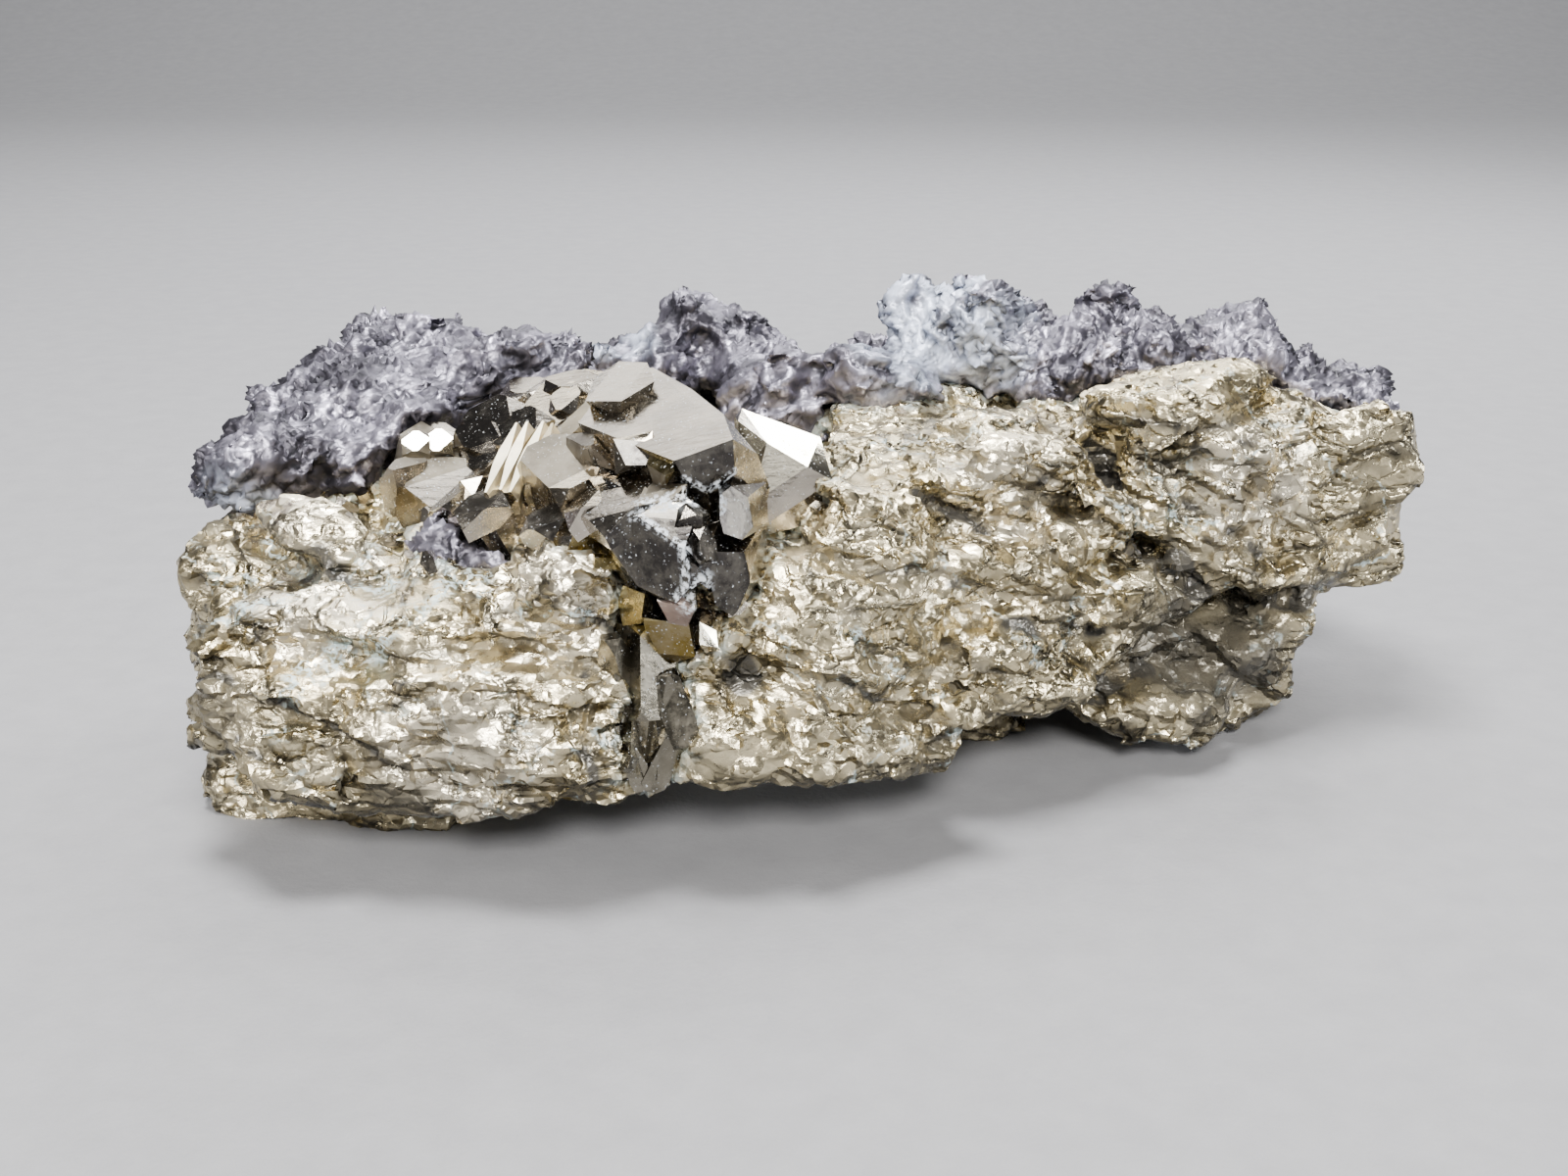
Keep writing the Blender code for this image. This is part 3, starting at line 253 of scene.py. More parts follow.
def lay_ledges(piece, layers, lay_of, calm=0.0):
    """Shapes a skin into ledges, coarse to fine: each one drops in steeply to the notch under
    it, and leans back above. Periods and heights in mm."""
    for number, (period, height) in enumerate(layers):
        part, bold = terraces(piece, period, lay_of, number)
        drop = np.minimum(1.0, part / TERRACE_DROP)
        push_out(piece, height * MM * bold * ((1.0 - part) * drop - 0.4) * (1.0 - calm))


def notches(piece, layers, lay_of):
    """How deep each corner sits in the notches between the ledges. Periods in mm, strengths."""
    deep = np.zeros(len(piece.data.vertices))
    for number, (period, strength) in enumerate(layers):
        part, bold = terraces(piece, period, lay_of, number)
        away = np.minimum(part, 1.0 - part) / NOTCH_WIDTH
        deep = np.maximum(deep, strength * bold * (1.0 - away))
    return deep


def beside(places, path, reach):
    """How near places are to a path of points in mm: 1 on it, 0 beyond the reach."""
    best = np.full(len(places), reach * MM)
    for start, end in zip(path, path[1:]):
        start = np.array(Vector(start) * MM + SHIFT)
        leg = np.array(Vector(end) * MM + SHIFT) - start
        along = np.sum((places - start) * leg, axis=1) / np.sum(leg * leg)
        share = np.clip(along, 0.0, 1.0)
        away = np.linalg.norm(places - start - share[:, None] * leg, axis=1)
        best = np.minimum(best, away)
    return 1.0 - best / (reach * MM)


def wandered(places, size, amount):
    """Places moved about a little, so that what follows a path wavers."""
    moves = [noise.noise_vector(Vector(place) / (size * MM)) for place in places]
    return places + np.array(moves) * amount * MM


def cleft_depth(places):
    """Depth in mm of the clefts at each place."""
    depths = np.zeros(len(places))
    for path, width, depth in CLEFTS:
        near = beside(places, path, width)
        depths = np.maximum(depths, depth * near * near * (3.0 - 2.0 * near))
    return depths


def darkness(places):
    """How much painted shade lies in the clefts and along the painted shade paths at each place:
    about 0.5 and above is painted near-black.
    """
    dark = cleft_depth(places)
    for path, width, strength in PAINTED_SHADE_PATHS:
        dark = np.maximum(dark, strength * np.minimum(1.0, 1.6 * beside(places, path, width)))
    return dark


def around(places, patches):
    """How far each place lies in one of the patches: 1 in a middle, 0 beyond the reach."""
    share = np.zeros(len(places))
    for middle, reach in patches:
        away = np.linalg.norm(places - np.array(Vector(middle) * MM + SHIFT), axis=1)
        share = np.maximum(share, 1.0 - away / (reach * MM))
    return share


def bareness(places):
    """How far each place lies in one of the forms that stay crisp: 1 well inside."""
    return np.minimum(1.0, 3.0 * around(places, BARE_FORMS))


def mass_lay(spot):
    """How the flakes lie in the mass: level at the front left, climbing further right."""
    wander = 5.0 * MM * noise.noise(spot / (6.0 * MM))
    if spot.x + wander < -9.0 * MM:
        return LEFT_LAY, LEFT_RISE
    return RIGHT_LAY, RIGHT_RISE


def depth_over(piece, node):
    """How far each corner of a skin stands out of the CAD node, with the nearest spot on it."""
    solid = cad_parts[node].data
    tree = BVHTree.FromPolygons([vert.co for vert in solid.vertices],
                                [face.vertices for face in solid.polygons])
    depths, spots = [], []
    for place in corners_of(piece)[0]:
        spot, facing, _, distance = tree.find_nearest(Vector(place))
        away = Vector(place) - spot
        depths.append(distance if away.dot(facing) > 0.0 else -distance)
        spots.append(spot)
    return np.array(depths), np.array(spots)


def hold_in(piece, node, reach):
    """Rounds off what stands out of the CAD node, so that none of it is out by over the reach."""
    depths, spots = depth_over(piece, node)
    places, _ = corners_of(piece)
    free = 0.5 * reach
    proud = depths > free
    held = free + (reach - free) * np.tanh((depths[proud] - free) / (reach - free))
    share = held / depths[proud]
    places[proud] = spots[proud] + (places[proud] - spots[proud]) * share[:, None]
    piece.data.vertices.foreach_set("co", places.ravel())
    piece.data.update()


def stand_on_table(piece):
    """Flattens whatever has come out below the table's top."""
    places, _ = corners_of(piece)
    places[:, 2] = np.maximum(places[:, 2], 0.0)
    piece.data.vertices.foreach_set("co", places.ravel())
    piece.data.update()


def thin_out(piece, triangles):
    """Collapses a skin to this many triangles, which keeps its sharp edges."""
    share = triangles / (2.0 * len(piece.data.polygons))
    if share < 1.0:
        thinner = piece.modifiers.new("thinner", "DECIMATE")
        thinner.ratio = share
        bpy.context.view_layer.objects.active = piece
        bpy.ops.object.modifier_apply(modifier=thinner.name)


def mark(piece, name, values):
    """Stores one number per corner, for a material to read."""
    layer = piece.data.attributes.new(name, "FLOAT", "POINT")
    layer.data.foreach_set("value", values)


def nearness(piece, others, reach):
    """How near each corner is to the other nodes: 1 where it touches, 0 beyond the reach."""
    trees = []
    for other in others:
        trees.append(BVHTree.FromPolygons(
            [vert.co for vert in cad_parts[other].data.vertices],
            [face.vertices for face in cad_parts[other].data.polygons],
        ))
    values = []
    for place in corners_of(piece)[0]:
        best = reach
        for tree in trees:
            _, _, _, distance = tree.find_nearest(Vector(place), best)
            if distance is not None:
                best = min(best, distance)
        values.append(1.0 - best / reach)
    return np.array(values)


def strike_flake():
    """One splinter of broken pyrite: a thin block, its corners struck off at a slant."""
    bpy.ops.object.select_all(action="DESELECT")
    bpy.ops.mesh.primitive_cube_add(size=2.0)
    flake = bpy.context.object
    bpy.ops.object.mode_set(mode="EDIT")
    for slant in FLAKE_CUTS:
        bpy.ops.mesh.select_all(action="SELECT")
        bpy.ops.mesh.bisect(plane_co=Vector(slant) * 0.42, plane_no=slant, use_fill=True,
                            clear_outer=True)
    bpy.ops.object.mode_set(mode="OBJECT")
    return flake


def spread_spots(piece, count, seed):
    """Random spots on a skin, evenly by area, each with the way that it faces."""
    rolls = random.Random(seed)
    faces = piece.data.polygons
    areas = np.zeros(len(faces))
    faces.foreach_get("area", areas)
    ends = np.cumsum(areas)
    spots = []
    for _ in range(count):
        face = faces[int(np.searchsorted(ends, rolls.random() * ends[-1]))]
        spots.append((face.center.copy(), face.normal.copy()))
    return spots


def cover_with_flakes(piece, flake, spots, lay_of, sizes, lift, sway, seed):
    """Sets copies of a flake into a skin at the spots, like shingles. Each one lies along the
    climb of the fracture, more or less, and its lower edge stands out."""
    rolls = random.Random(seed)
    corners = [vert.co.copy() for vert in flake.data.vertices]
    places, faces = [], []
    for spot, facing in spots:
        rise = -lay_of(spot)[1] + rolls.uniform(-sway, sway)
        along = Vector((math.cos(rise), rolls.uniform(-0.3, 0.3), math.sin(rise)))
        up = (facing + Vector((0.0, 0.0, lift)) + Vector(
            [rolls.uniform(-sway, sway) for _ in range(3)])).normalized()
        along = (along - up * along.dot(up)).normalized()
        across = up.cross(along)
        long, wide, thick = (rolls.uniform(*limits) * 0.5 * MM for limits in sizes)
        turn = Matrix((along * long, across * wide, up * thick)).transposed()
        flip = -1.0 if rolls.random() < 0.5 else 1.0
        middle = spot - facing * thick * rolls.uniform(0.2, 0.8)
        start = len(places)
        places.extend(middle + turn @ (corner * flip) for corner in corners)
        faces.extend([start + number for number in face.vertices] for face in flake.data.polygons)
    mesh = bpy.data.meshes.new("flakes")
    mesh.from_pydata(places, [], faces)
    flakes = bpy.data.objects.new("flakes", mesh)
    bpy.context.scene.collection.objects.link(flakes)
    bpy.ops.object.select_all(action="DESELECT")
    flakes.select_set(True)
    bpy.context.view_layer.objects.active = flakes
    bpy.ops.object.mode_set(mode="EDIT")
    bpy.ops.mesh.select_all(action="SELECT")
    bpy.ops.mesh.normals_make_consistent(inside=False)
    bpy.ops.object.mode_set(mode="OBJECT")
    piece.select_set(True)
    bpy.context.view_layer.objects.active = piece
    bpy.ops.object.join()


FLAKE_CUTS = [(1.0, 0.5, 0.4), (-0.9, 0.7, 0.5), (0.4, -1.0, 0.6), (-0.6, -0.8, 0.7),
              (0.2, 0.3, 1.5), (0.8, -0.9, -0.3), (-0.5, 1.0, -0.4)]
NEIGHBOURS = ["pyrite_crystals", "franckeite_crust_left", "franckeite_crust_back",
              "franckeite_patch"]

noise.seed_set(WAVER_SEED)
mass = take_copy("pyrite_mass", "broken_pyrite")
even_skin(mass, 2.0 * MASS_VOXEL)
lay_ledges(mass, BOLD_LEDGES, mass_lay, bareness(corners_of(mass)[0]))
push_out(mass, -MM * cleft_depth(wandered(corners_of(mass)[0], *CLEFT_WAVER)))
splinter = strike_flake()
spots = spread_spots(mass, SPLINTER_SPOTS, 3)
middles = np.array([spot for spot, _ in spots])
outward = np.array([facing.x for _, facing in spots])
kept = (bareness(middles) < 0.3) & (cleft_depth(middles) < 0.25) & (np.abs(outward) < 0.8)
spots = [pair for pair, keep in zip(spots, kept) if keep]
cover_with_flakes(mass, splinter, spots[:LARGE_SPLINTERS], mass_lay, LARGE_SPLINTER,
                  SPLINTER_LIFT, 0.16, 3)
cover_with_flakes(mass, splinter, spots[LARGE_SPLINTERS:], mass_lay, SMALL_SPLINTER,
                  SPLINTER_LIFT, 0.25, 4)
bpy.data.objects.remove(splinter)
even_skin(mass, MASS_VOXEL)
hold_in(mass, "pyrite_mass", MASS_PROUD)
seam = nearness(mass, NEIGHBOURS, SEAM_REACH)
push_out(mass, SEAM_FILL * np.minimum(1.0, 1.6 * seam))
lay_ledges(mass, FINE_LEDGES, mass_lay, 0.8 * bareness(corners_of(mass)[0]))
break_up(mass, MASS_GRAIN, mass_lay)
stand_on_table(mass)
thin_out(mass, MASS_TRIANGLES)
mark(mass, "seam", nearness(mass, NEIGHBOURS, SEAM_REACH))
mark(mass, "level", depth_over(mass, "pyrite_mass")[0] / MASS_PROUD)
# Painted shade: dark lines in the notches under the ledges, with the clefts and painted shade
# paths.
lined = (1.0 - bareness(corners_of(mass)[0])) * np.maximum(
    notches(mass, BOLD_NOTCHES, mass_lay), notches(mass, FINE_NOTCHES, mass_lay))
dark = darkness(wandered(corners_of(mass)[0], *CLEFT_WAVER))
mark(mass, "painted_cleft_shade", np.maximum(lined, dark))
straying = wandered(corners_of(mass)[0], *FILM_WAVER)
mark(mass, "film", np.max([beside(straying, path, reach) for path, reach in FILM_PATHS], axis=0))
# Painted light: where the base is painted paler.
mark(mass, "pale", around(straying, PAINTED_LIGHT_SPOTS))
bpy.ops.object.select_all(action="DESELECT")
mass.select_set(True)
bpy.context.view_layer.objects.active = mass
bpy.ops.object.shade_smooth_by_angle(angle=MASS_CRISP)


class Nodes:
    """Adds nodes to a material's tree and joins them."""

    def __init__(self, name):
        self.material = bpy.data.materials.new(name)
        self.material.use_nodes = True
        self.tree = self.material.node_tree
        self.shader = self.tree.nodes["Principled BSDF"]
        self.place = self.tree.nodes.new("ShaderNodeTexCoord").outputs["Object"]
        self.normal = self.tree.nodes.new("ShaderNodeNewGeometry").outputs["Normal"]

    def add(self, kind, inputs=None, **settings):
        node = self.tree.nodes.new("ShaderNode" + kind)
        for key, value in settings.items():
            setattr(node, key, value)
        for key, value in (inputs or {}).items():
            self.feed(node.inputs[key], value)
        return node

    def feed(self, socket, value):
        if isinstance(value, bpy.types.NodeSocket):
            self.tree.links.new(value, socket)
        else:
            socket.default_value = value

    def maths(self, operation, first, second=0.0, clamp=False):
        node = self.add("Math", {0: first, 1: second}, operation=operation)
        node.use_clamp = clamp
        return node.outputs[0]

    def vector(self, operation, first, second=(0.0, 0.0, 0.0), scale=None):
        node = self.add("VectorMath", {0: first, 1: second}, operation=operation)
        if scale is not None:
            self.feed(node.inputs["Scale"], scale)
        return node.outputs[0]

    def spread(self, value, low, high, to_low=0.0, to_high=1.0):
        node = self.add("MapRange", {
            "Value": value, "From Min": low, "From Max": high, "To Min": to_low, "To Max": to_high,
        })
        return node.outputs["Result"]

    def mix(self, share, first, second):
        node = self.add("MixRGB", {"Fac": share, "Color1": first, "Color2": second})
        return node.outputs["Color"]

    def stored(self, name):
        """What mark stored under a name."""
        return self.add("Attribute", attribute_name=name).outputs["Fac"]

    def hollows(self, low, high, to_low):
        """Painted shade in hollows: how dark the skin is painted where it is hollow, from its
        pointiness.
        """
        pointed = self.add("NewGeometry").outputs["Pointiness"]
        return self.spread(pointed, low, high, to_low, 0.0)

    def stretched(self, scale, turn=(0.0, 0.0, 0.0)):
        turns = tuple(math.radians(angle) for angle in turn)
        node = self.add("Mapping", {"Vector": self.place, "Rotation": turns, "Scale": scale})
        return node.outputs["Vector"]

    def noise(self, size, detail=4.0, rough=0.55, place=None):
        node = self.add("TexNoise", {
            "Vector": place or self.place, "Scale": 1.0 / (size * MM), "Detail": detail,
            "Roughness": rough,
        })
        return node.outputs["Fac"]

    def creases(self, size, detail=3.0, place=None):
        """Sharp ridges that branch, as on crushed foil."""
        node = self.add("TexNoise", {
            "Vector": place or self.place, "Scale": 1.0 / (size * MM), "Detail": detail,
        }, noise_type="RIDGED_MULTIFRACTAL", normalize=True)
        return node.outputs["Fac"]

    def grains(self, size, place=None, distance="F1"):
        return self.add("TexVoronoi", {
            "Vector": place or self.place, "Scale": 1.0 / (size * MM),
        }, feature=distance)

    def tilted(self, normal, size, amount, place=None):
        """Tilts the normal of each grain of this size by an amount of its own."""
        colour = self.grains(size, place).outputs["Color"]
        lean = self.vector("SUBTRACT", colour, (0.5, 0.5, 0.5))
        lean = self.vector("SCALE", lean, scale=amount)
        return self.vector("NORMALIZE", self.vector("ADD", normal, lean))

    def warped(self, place, size, amount):
        """A place moved about by noise, so that grains lose their straight sides."""
        wave = self.add("TexNoise", {
            "Vector": self.place, "Scale": 1.0 / (size * MM), "Detail": 3.0,
        })
        lean = self.vector("SUBTRACT", wave.outputs["Color"], (0.5, 0.5, 0.5))
        return self.vector("ADD", place, self.vector("SCALE", lean, scale=amount * MM))

    def gaps(self, size, low, high, place):
        """1 between the grains of this size, 0 on them."""
        away = self.grains(size, place, "DISTANCE_TO_EDGE").outputs["Distance"]
        return self.spread(away, low, high, 1.0, 0.0)

    def underside(self, shade, low=-0.55, high=0.12, normal=None):
        """Painted shade: 1 where a surface looks sideways or up, falling to the shade where it
        looks down.
        """
        upward = self.add("SeparateXYZ", {0: normal or self.normal}).outputs["Z"]
        return self.spread(upward, low, high, shade, 1.0)

    def beside(self, path, reach):
        """1 on a path of points in mm, falling to 0 at the reach."""
        nearest = None
        for start, end in zip(path, path[1:]):
            start = Vector(start) * MM + SHIFT
            leg = Vector(end) * MM + SHIFT - start
            away = self.vector("SUBTRACT", self.place, tuple(start))
            dot = self.add("VectorMath", {0: away, 1: tuple(leg / leg.length_squared)},
                           operation="DOT_PRODUCT").outputs["Value"]
            along = self.vector("SCALE", tuple(leg), scale=self.maths("ADD", dot, 0.0, clamp=True))
            gap = self.add("VectorMath", {0: away, 1: along}, operation="DISTANCE").outputs["Value"]
            nearest = gap if nearest is None else self.maths("MINIMUM", nearest, gap)
        return self.spread(nearest, 0.0, reach * MM, 1.0, 0.0)

    def bump(self, height, distance, normal=None, strength=1.0):
        node = self.add("Bump", {
            "Height": height, "Distance": distance * MM, "Strength": strength,
        })
        if normal is not None:
            self.feed(node.inputs["Normal"], normal)
        return node.outputs["Normal"]


def broken_pyrite():
    """Pale brass, granular, with glints and a pale film in the cracks; painted shade darkens its
    hollows, clefts, notches, grooves and down-facing flakes, and painted light brightens a few
    spots.
    """
    made = Nodes("broken pyrite")
    place = made.warped(made.stretched((1.0, 1.0, 1.7), (0.0, 14.0, 0.0)), 2.0, 1.6)
    flakes = made.tilted(made.normal, 4.6, 0.60, place)
    flakes = made.tilted(flakes, 2.0, 0.30, place)
    groove = made.maths("MAXIMUM", made.gaps(4.6, 0.01, 0.08, place), made.maths(
        "MULTIPLY", made.gaps(2.0, 0.02, 0.09, place), 0.55))
    patchy = made.spread(made.noise(4.0, 4.0), 0.42, 0.56)
    groove = made.maths("MULTIPLY", groove, patchy, clamp=True)
    normal = made.bump(made.maths("SUBTRACT", 1.0, groove), 0.16, flakes)
    normal = made.bump(made.creases(1.6, 4.0, place), 0.10, normal)
    normal = made.bump(made.noise(0.4, 3.0, 0.6, place), 0.035, normal)
    normal = made.tilted(normal, 0.40, 0.13, place)
    made.feed(made.shader.inputs["Normal"], normal)

    patch = made.spread(made.noise(6.0, 4.0), 0.38, 0.62)
    brass = made.mix(patch, (0.60, 0.51, 0.315, 1), (0.79, 0.69, 0.46, 1))
    olive = made.spread(made.noise(2.6, 4.0, 0.6), 0.52, 0.66, 0.0, 0.5)
    brass = made.mix(olive, brass, (0.46, 0.41, 0.285, 1))
    # Painted light: a paler base on the painted light spots.
    pale = made.spread(made.stored("pale"), 0.0, 0.5, 0.0, 0.85)
    brass = made.mix(pale, brass, (0.92, 0.83, 0.63, 1))
    # Painted shade: darker, less metallic colour in hollows and where the skin sits low.
    hollow = made.hollows(0.36, 0.47, 0.8)
    low = made.spread(made.stored("level"), -1.3, -0.2, 0.6, 0.0)
    painted_cleft_shade = made.stored("painted_cleft_shade")
    hollow = made.maths("MAXIMUM", hollow, low, clamp=True)
    colour = made.mix(hollow, brass, (0.15, 0.14, 0.125, 1))
    # Painted shade: near-black in the clefts, notches and painted shade paths.
    black = made.spread(painted_cleft_shade, 0.10, 0.50, 0.0, 0.92)
    colour = made.mix(black, colour, (0.045, 0.045, 0.045, 1))
    # Painted shade in the grooves between the flakes.
    colour = made.mix(made.maths("MULTIPLY", groove, 0.8), colour, (0.07, 0.065, 0.055, 1))
    # Painted shade: flakes that tilt down are painted darker.
    colour = made.vector("SCALE", colour, scale=made.underside(0.30, -0.42, 0.16, flakes))
    bare = made.spread(made.maths("MAXIMUM", hollow, black), 0.0, 1.0, 1.0, 0.35)

    vein = made.maths("ABSOLUTE", made.maths("SUBTRACT", made.noise(12.0, 6.0, 0.55), 0.5))
    vein = made.spread(vein, 0.002, 0.008, 0.7, 0.0)
    drawn = made.stored("film")
    dust = made.spread(made.noise(0.8, 6.0, 0.7), 0.46, 0.58)
    film = made.maths("MAXIMUM", vein, made.maths("MULTIPLY", made.stored("seam"), 0.75))
    film = made.maths("MULTIPLY", film, dust)
    branch = made.maths("ABSOLUTE", made.maths("SUBTRACT", made.noise(3.4, 5.0, 0.6), 0.5))
    branch = made.spread(branch, 0.006, 0.026, 1.0, 0.0)
    speck = made.spread(made.noise(0.5, 5.0, 0.7), 0.54, 0.60, 0.0, 0.8)
    band = made.maths("MAXIMUM", branch, speck)
    band = made.maths("MULTIPLY", band, made.spread(drawn, 0.1, 0.6))
    core = made.maths("MULTIPLY", made.spread(drawn, 0.80, 0.90), dust)
    film = made.maths("MAXIMUM", film, made.maths("MAXIMUM", band, core))
    film = made.maths("MULTIPLY", film, made.spread(painted_cleft_shade, 0.2, 0.5, 0.9, 0.15), clamp=True)
    colour = made.mix(film, colour, (0.58, 0.73, 0.75, 1))
    made.feed(made.shader.inputs["Base Color"], colour)
    made.feed(made.shader.inputs["Metallic"],
              made.maths("MULTIPLY", made.spread(film, 0.0, 1.0, 1.0, 0.1), bare))
    rough = made.spread(made.noise(0.8, 5.0, 0.6), 0.3, 0.7, 0.21, 0.37)
    made.feed(made.shader.inputs["Roughness"],
              made.maths("ADD", rough, made.maths("MULTIPLY", film, 0.3)))
    return made.material


mass.data.materials.append(broken_pyrite())
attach(mass, "root")
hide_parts("pyrite_mass")

# Pyrite crystals
# A cluster of sharp pyrite crystals, grown together, with mirror faces. They are thinly tarnished,
# some tan or olive, with a light dust in the seams; some faces are painted nearly black as painted
# dark reflection, and faces that look up are painted darker as painted shade.

EDGE_WEAR = 0.05 * MM
TAN = (0.46, 0.40, 0.30, 0.14)
STEEL = (0.42, 0.38, 0.32, 0.14)
# Painted dark reflection: a near-black tint for faces.
PAINTED_DARK_REFLECTION = (0.045, 0.041, 0.038, 0.24)
OLIVE = (0.30, 0.24, 0.10, 0.22)
AMBER = (0.17, 0.12, 0.03, 0.24)
DULL_TAN = (0.34, 0.30, 0.23, 0.40)
SMOKE = (0.17, 0.155, 0.12, 0.20)
PINK = (0.48, 0.36, 0.32, 0.30)
PALE = (0.90, 0.84, 0.66, 0.14)
CREAM = (0.70, 0.60, 0.40, 0.34)
SHEEN = (0.95, 0.86, 0.64, 0.36)
FACE_TINTS = [
    # middle of the face in mm, reach, tint with roughness as its fourth number; the near-black
    # tints are painted dark reflection, the others the faces' own tones
    ((-14.6, -9.4, 23.4), 3.4, CREAM),
    ((-7.2, -22.0, 21.2), 2.9, PAINTED_DARK_REFLECTION),
    ((-4.3, -20.0, 25.3), 1.9, PAINTED_DARK_REFLECTION),
    ((-2.8, -20.9, 23.2), 1.6, PAINTED_DARK_REFLECTION),
    ((-3.0, -21.1, 19.4), 2.1, PAINTED_DARK_REFLECTION),
    ((-4.9, -22.9, 21.8), 0.8, PAINTED_DARK_REFLECTION),
    ((-8.3, -18.1, 25.9), 1.0, PAINTED_DARK_REFLECTION),
    ((-6.7, -19.7, 25.9), 1.2, OLIVE),
    ((-8.5, -20.9, 17.6), 1.4, OLIVE),
    ((-6.3, -21.0, 15.9), 1.5, AMBER),
    ((-23.0, -5.0, 22.4), 2.6, DULL_TAN),
    ((-12.9, -13.6, 24.7), 2.4, DULL_TAN),
    ((-8.4, -21.4, 11.0), 5.0, SMOKE),
    ((-7.2, -19.8, 24.2), 1.6, DULL_TAN),
    ((-6.0, -22.0, 17.8), 1.2, PINK),
    ((-4.3, -21.9, 16.3), 0.9, PALE),
    ((0.2, -11.0, 24.6), 2.6, PALE),
    ((-10.4, -19.2, 20.0), 1.6, OLIVE),
    ((-23.1, -5.6, 23.2), 1.5, PALE),
    ((-21.8, -5.0, 23.1), 1.5, PALE),
    ((-16.0, -10.8, 23.8), 2.6, SHEEN),
]


def grow_small_crystal():
    """One small pyrite crystal: a block with its corners cut off."""
    bpy.ops.object.select_all(action="DESELECT")
    bpy.ops.mesh.primitive_cube_add(size=2.0)
    grown = bpy.context.object
    bpy.ops.object.mode_set(mode="EDIT")
    for corner in SMALL_CUTS:
        bpy.ops.mesh.select_all(action="SELECT")
        bpy.ops.mesh.bisect(plane_co=Vector(corner) * 0.74, plane_no=corner, use_fill=True,
                            clear_outer=True)
    bpy.ops.object.mode_set(mode="OBJECT")
    return grown


def set_crystals(piece, grown, places, turns, sizes):
    """Sets copies of a small crystal into the cluster, each one turned and sized."""
    for place, turn, size in zip(places, turns, sizes):
        copy = bpy.data.objects.new("small crystal", grown.data.copy())
        copy.data.transform(
            Matrix.Translation(place) @ turn.to_matrix().to_4x4() @ Matrix.Diagonal((*size, 1.0)))
        bpy.context.scene.collection.objects.link(copy)
        copy.select_set(True)
    bpy.context.view_layer.objects.active = piece
    piece.select_set(True)
    bpy.ops.object.join()


DUST_PATHS = [
    # path along a seam that holds bluish dust in mm, its reach
    ([(-9.9, -20.6, 22.0), (-9.3, -20.9, 23.0), (-8.0, -21.7, 23.4), (-5.4, -23.2, 22.0)], 0.35),
    ([(-5.4, -23.2, 22.0), (-5.2, -23.3, 19.8), (-5.9, -22.9, 18.8)], 0.55),
    ([(-4.6, -22.4, 19.6), (-4.9, -22.6, 18.4)], 1.2),
    ([(-7.8, -20.9, 23.6), (-5.4, -21.1, 24.3), (-3.6, -21.4, 24.0)], 0.7),
    ([(-5.5, -20.3, 25.1), (-4.2, -19.8, 24.2), (-2.7, -19.6, 25.3)], 0.3),
]
SMALL_CUTS = [(1, 1, 1), (-1, 1, 0.8), (1, -0.8, 1), (-1, -1, 1), (0.2, 1, -1), (-1, 0.1, -1)]
SMALL_COUNT = 120
SMALL_SIZE = (0.25, 0.75)
BLADES = [
    # middle, half size, turn in degrees
    ((-9.3, -20.7, 12.8), (0.7, 0.8, 1.8), (-6, 4, 34)),
    ((-8.0, -20.9, 11.0), (0.7, 0.8, 2.0), (-4, 7, -24)),
    ((-9.9, -21.3, 9.0), (0.8, 0.8, 1.5), (-8, 9, 40)),
    ((-8.5, -21.5, 8.4), (0.6, 0.8, 1.4), (-3, -8, 12)),
    ((-7.2, -21.1, 9.4), (0.6, 0.8, 1.8), (-7, 5, -32)),
    ((-6.6, -20.8, 12.2), (0.6, 0.8, 1.6), (-5, -6, 26)),
    ((-9.6, -20.8, 14.8), (0.6, 0.8, 1.2), (-9, -5, 50)),
    ((-5.2, -21.5, 23.0), (0.8, 0.6, 0.9), (20, 30, 20)),
    ((-4.6, -21.9, 21.8), (0.7, 0.6, 0.9), (-20, 15, 50)),
    ((-5.3, -22.1, 20.6), (0.6, 0.6, 1.0), (10, -30, 0)),
    ((-4.5, -21.4, 20.2), (0.7, 0.6, 0.7), (0, 40, 30)),
    ((-16.9, -10.0, 22.7), (0.34, 3.1, 0.9), (27, 0, -13)),
    ((-16.1, -10.2, 22.9), (0.34, 2.9, 0.9), (29, 0, -12)),
    ((-15.3, -10.5, 22.9), (0.36, 3.2, 0.9), (26, 0, -14)),
    ((-14.5, -10.7, 23.1), (0.34, 2.7, 0.9), (28, 0, -13)),
    ((-23.1, -5.2, 22.7), (0.85, 0.75, 0.6), (40, 0, 8)),
    ((-21.8, -4.6, 22.6), (0.95, 0.85, 0.6), (40, 0, 3)),
]

OVERGROWN_COUNT = 20
OVERGROWN_SIZE = (0.9, 1.9)
OVERGROWN_EDGE = -9.5 * MM
OVERGROWN_LEVELS = (0.017, 0.0262)

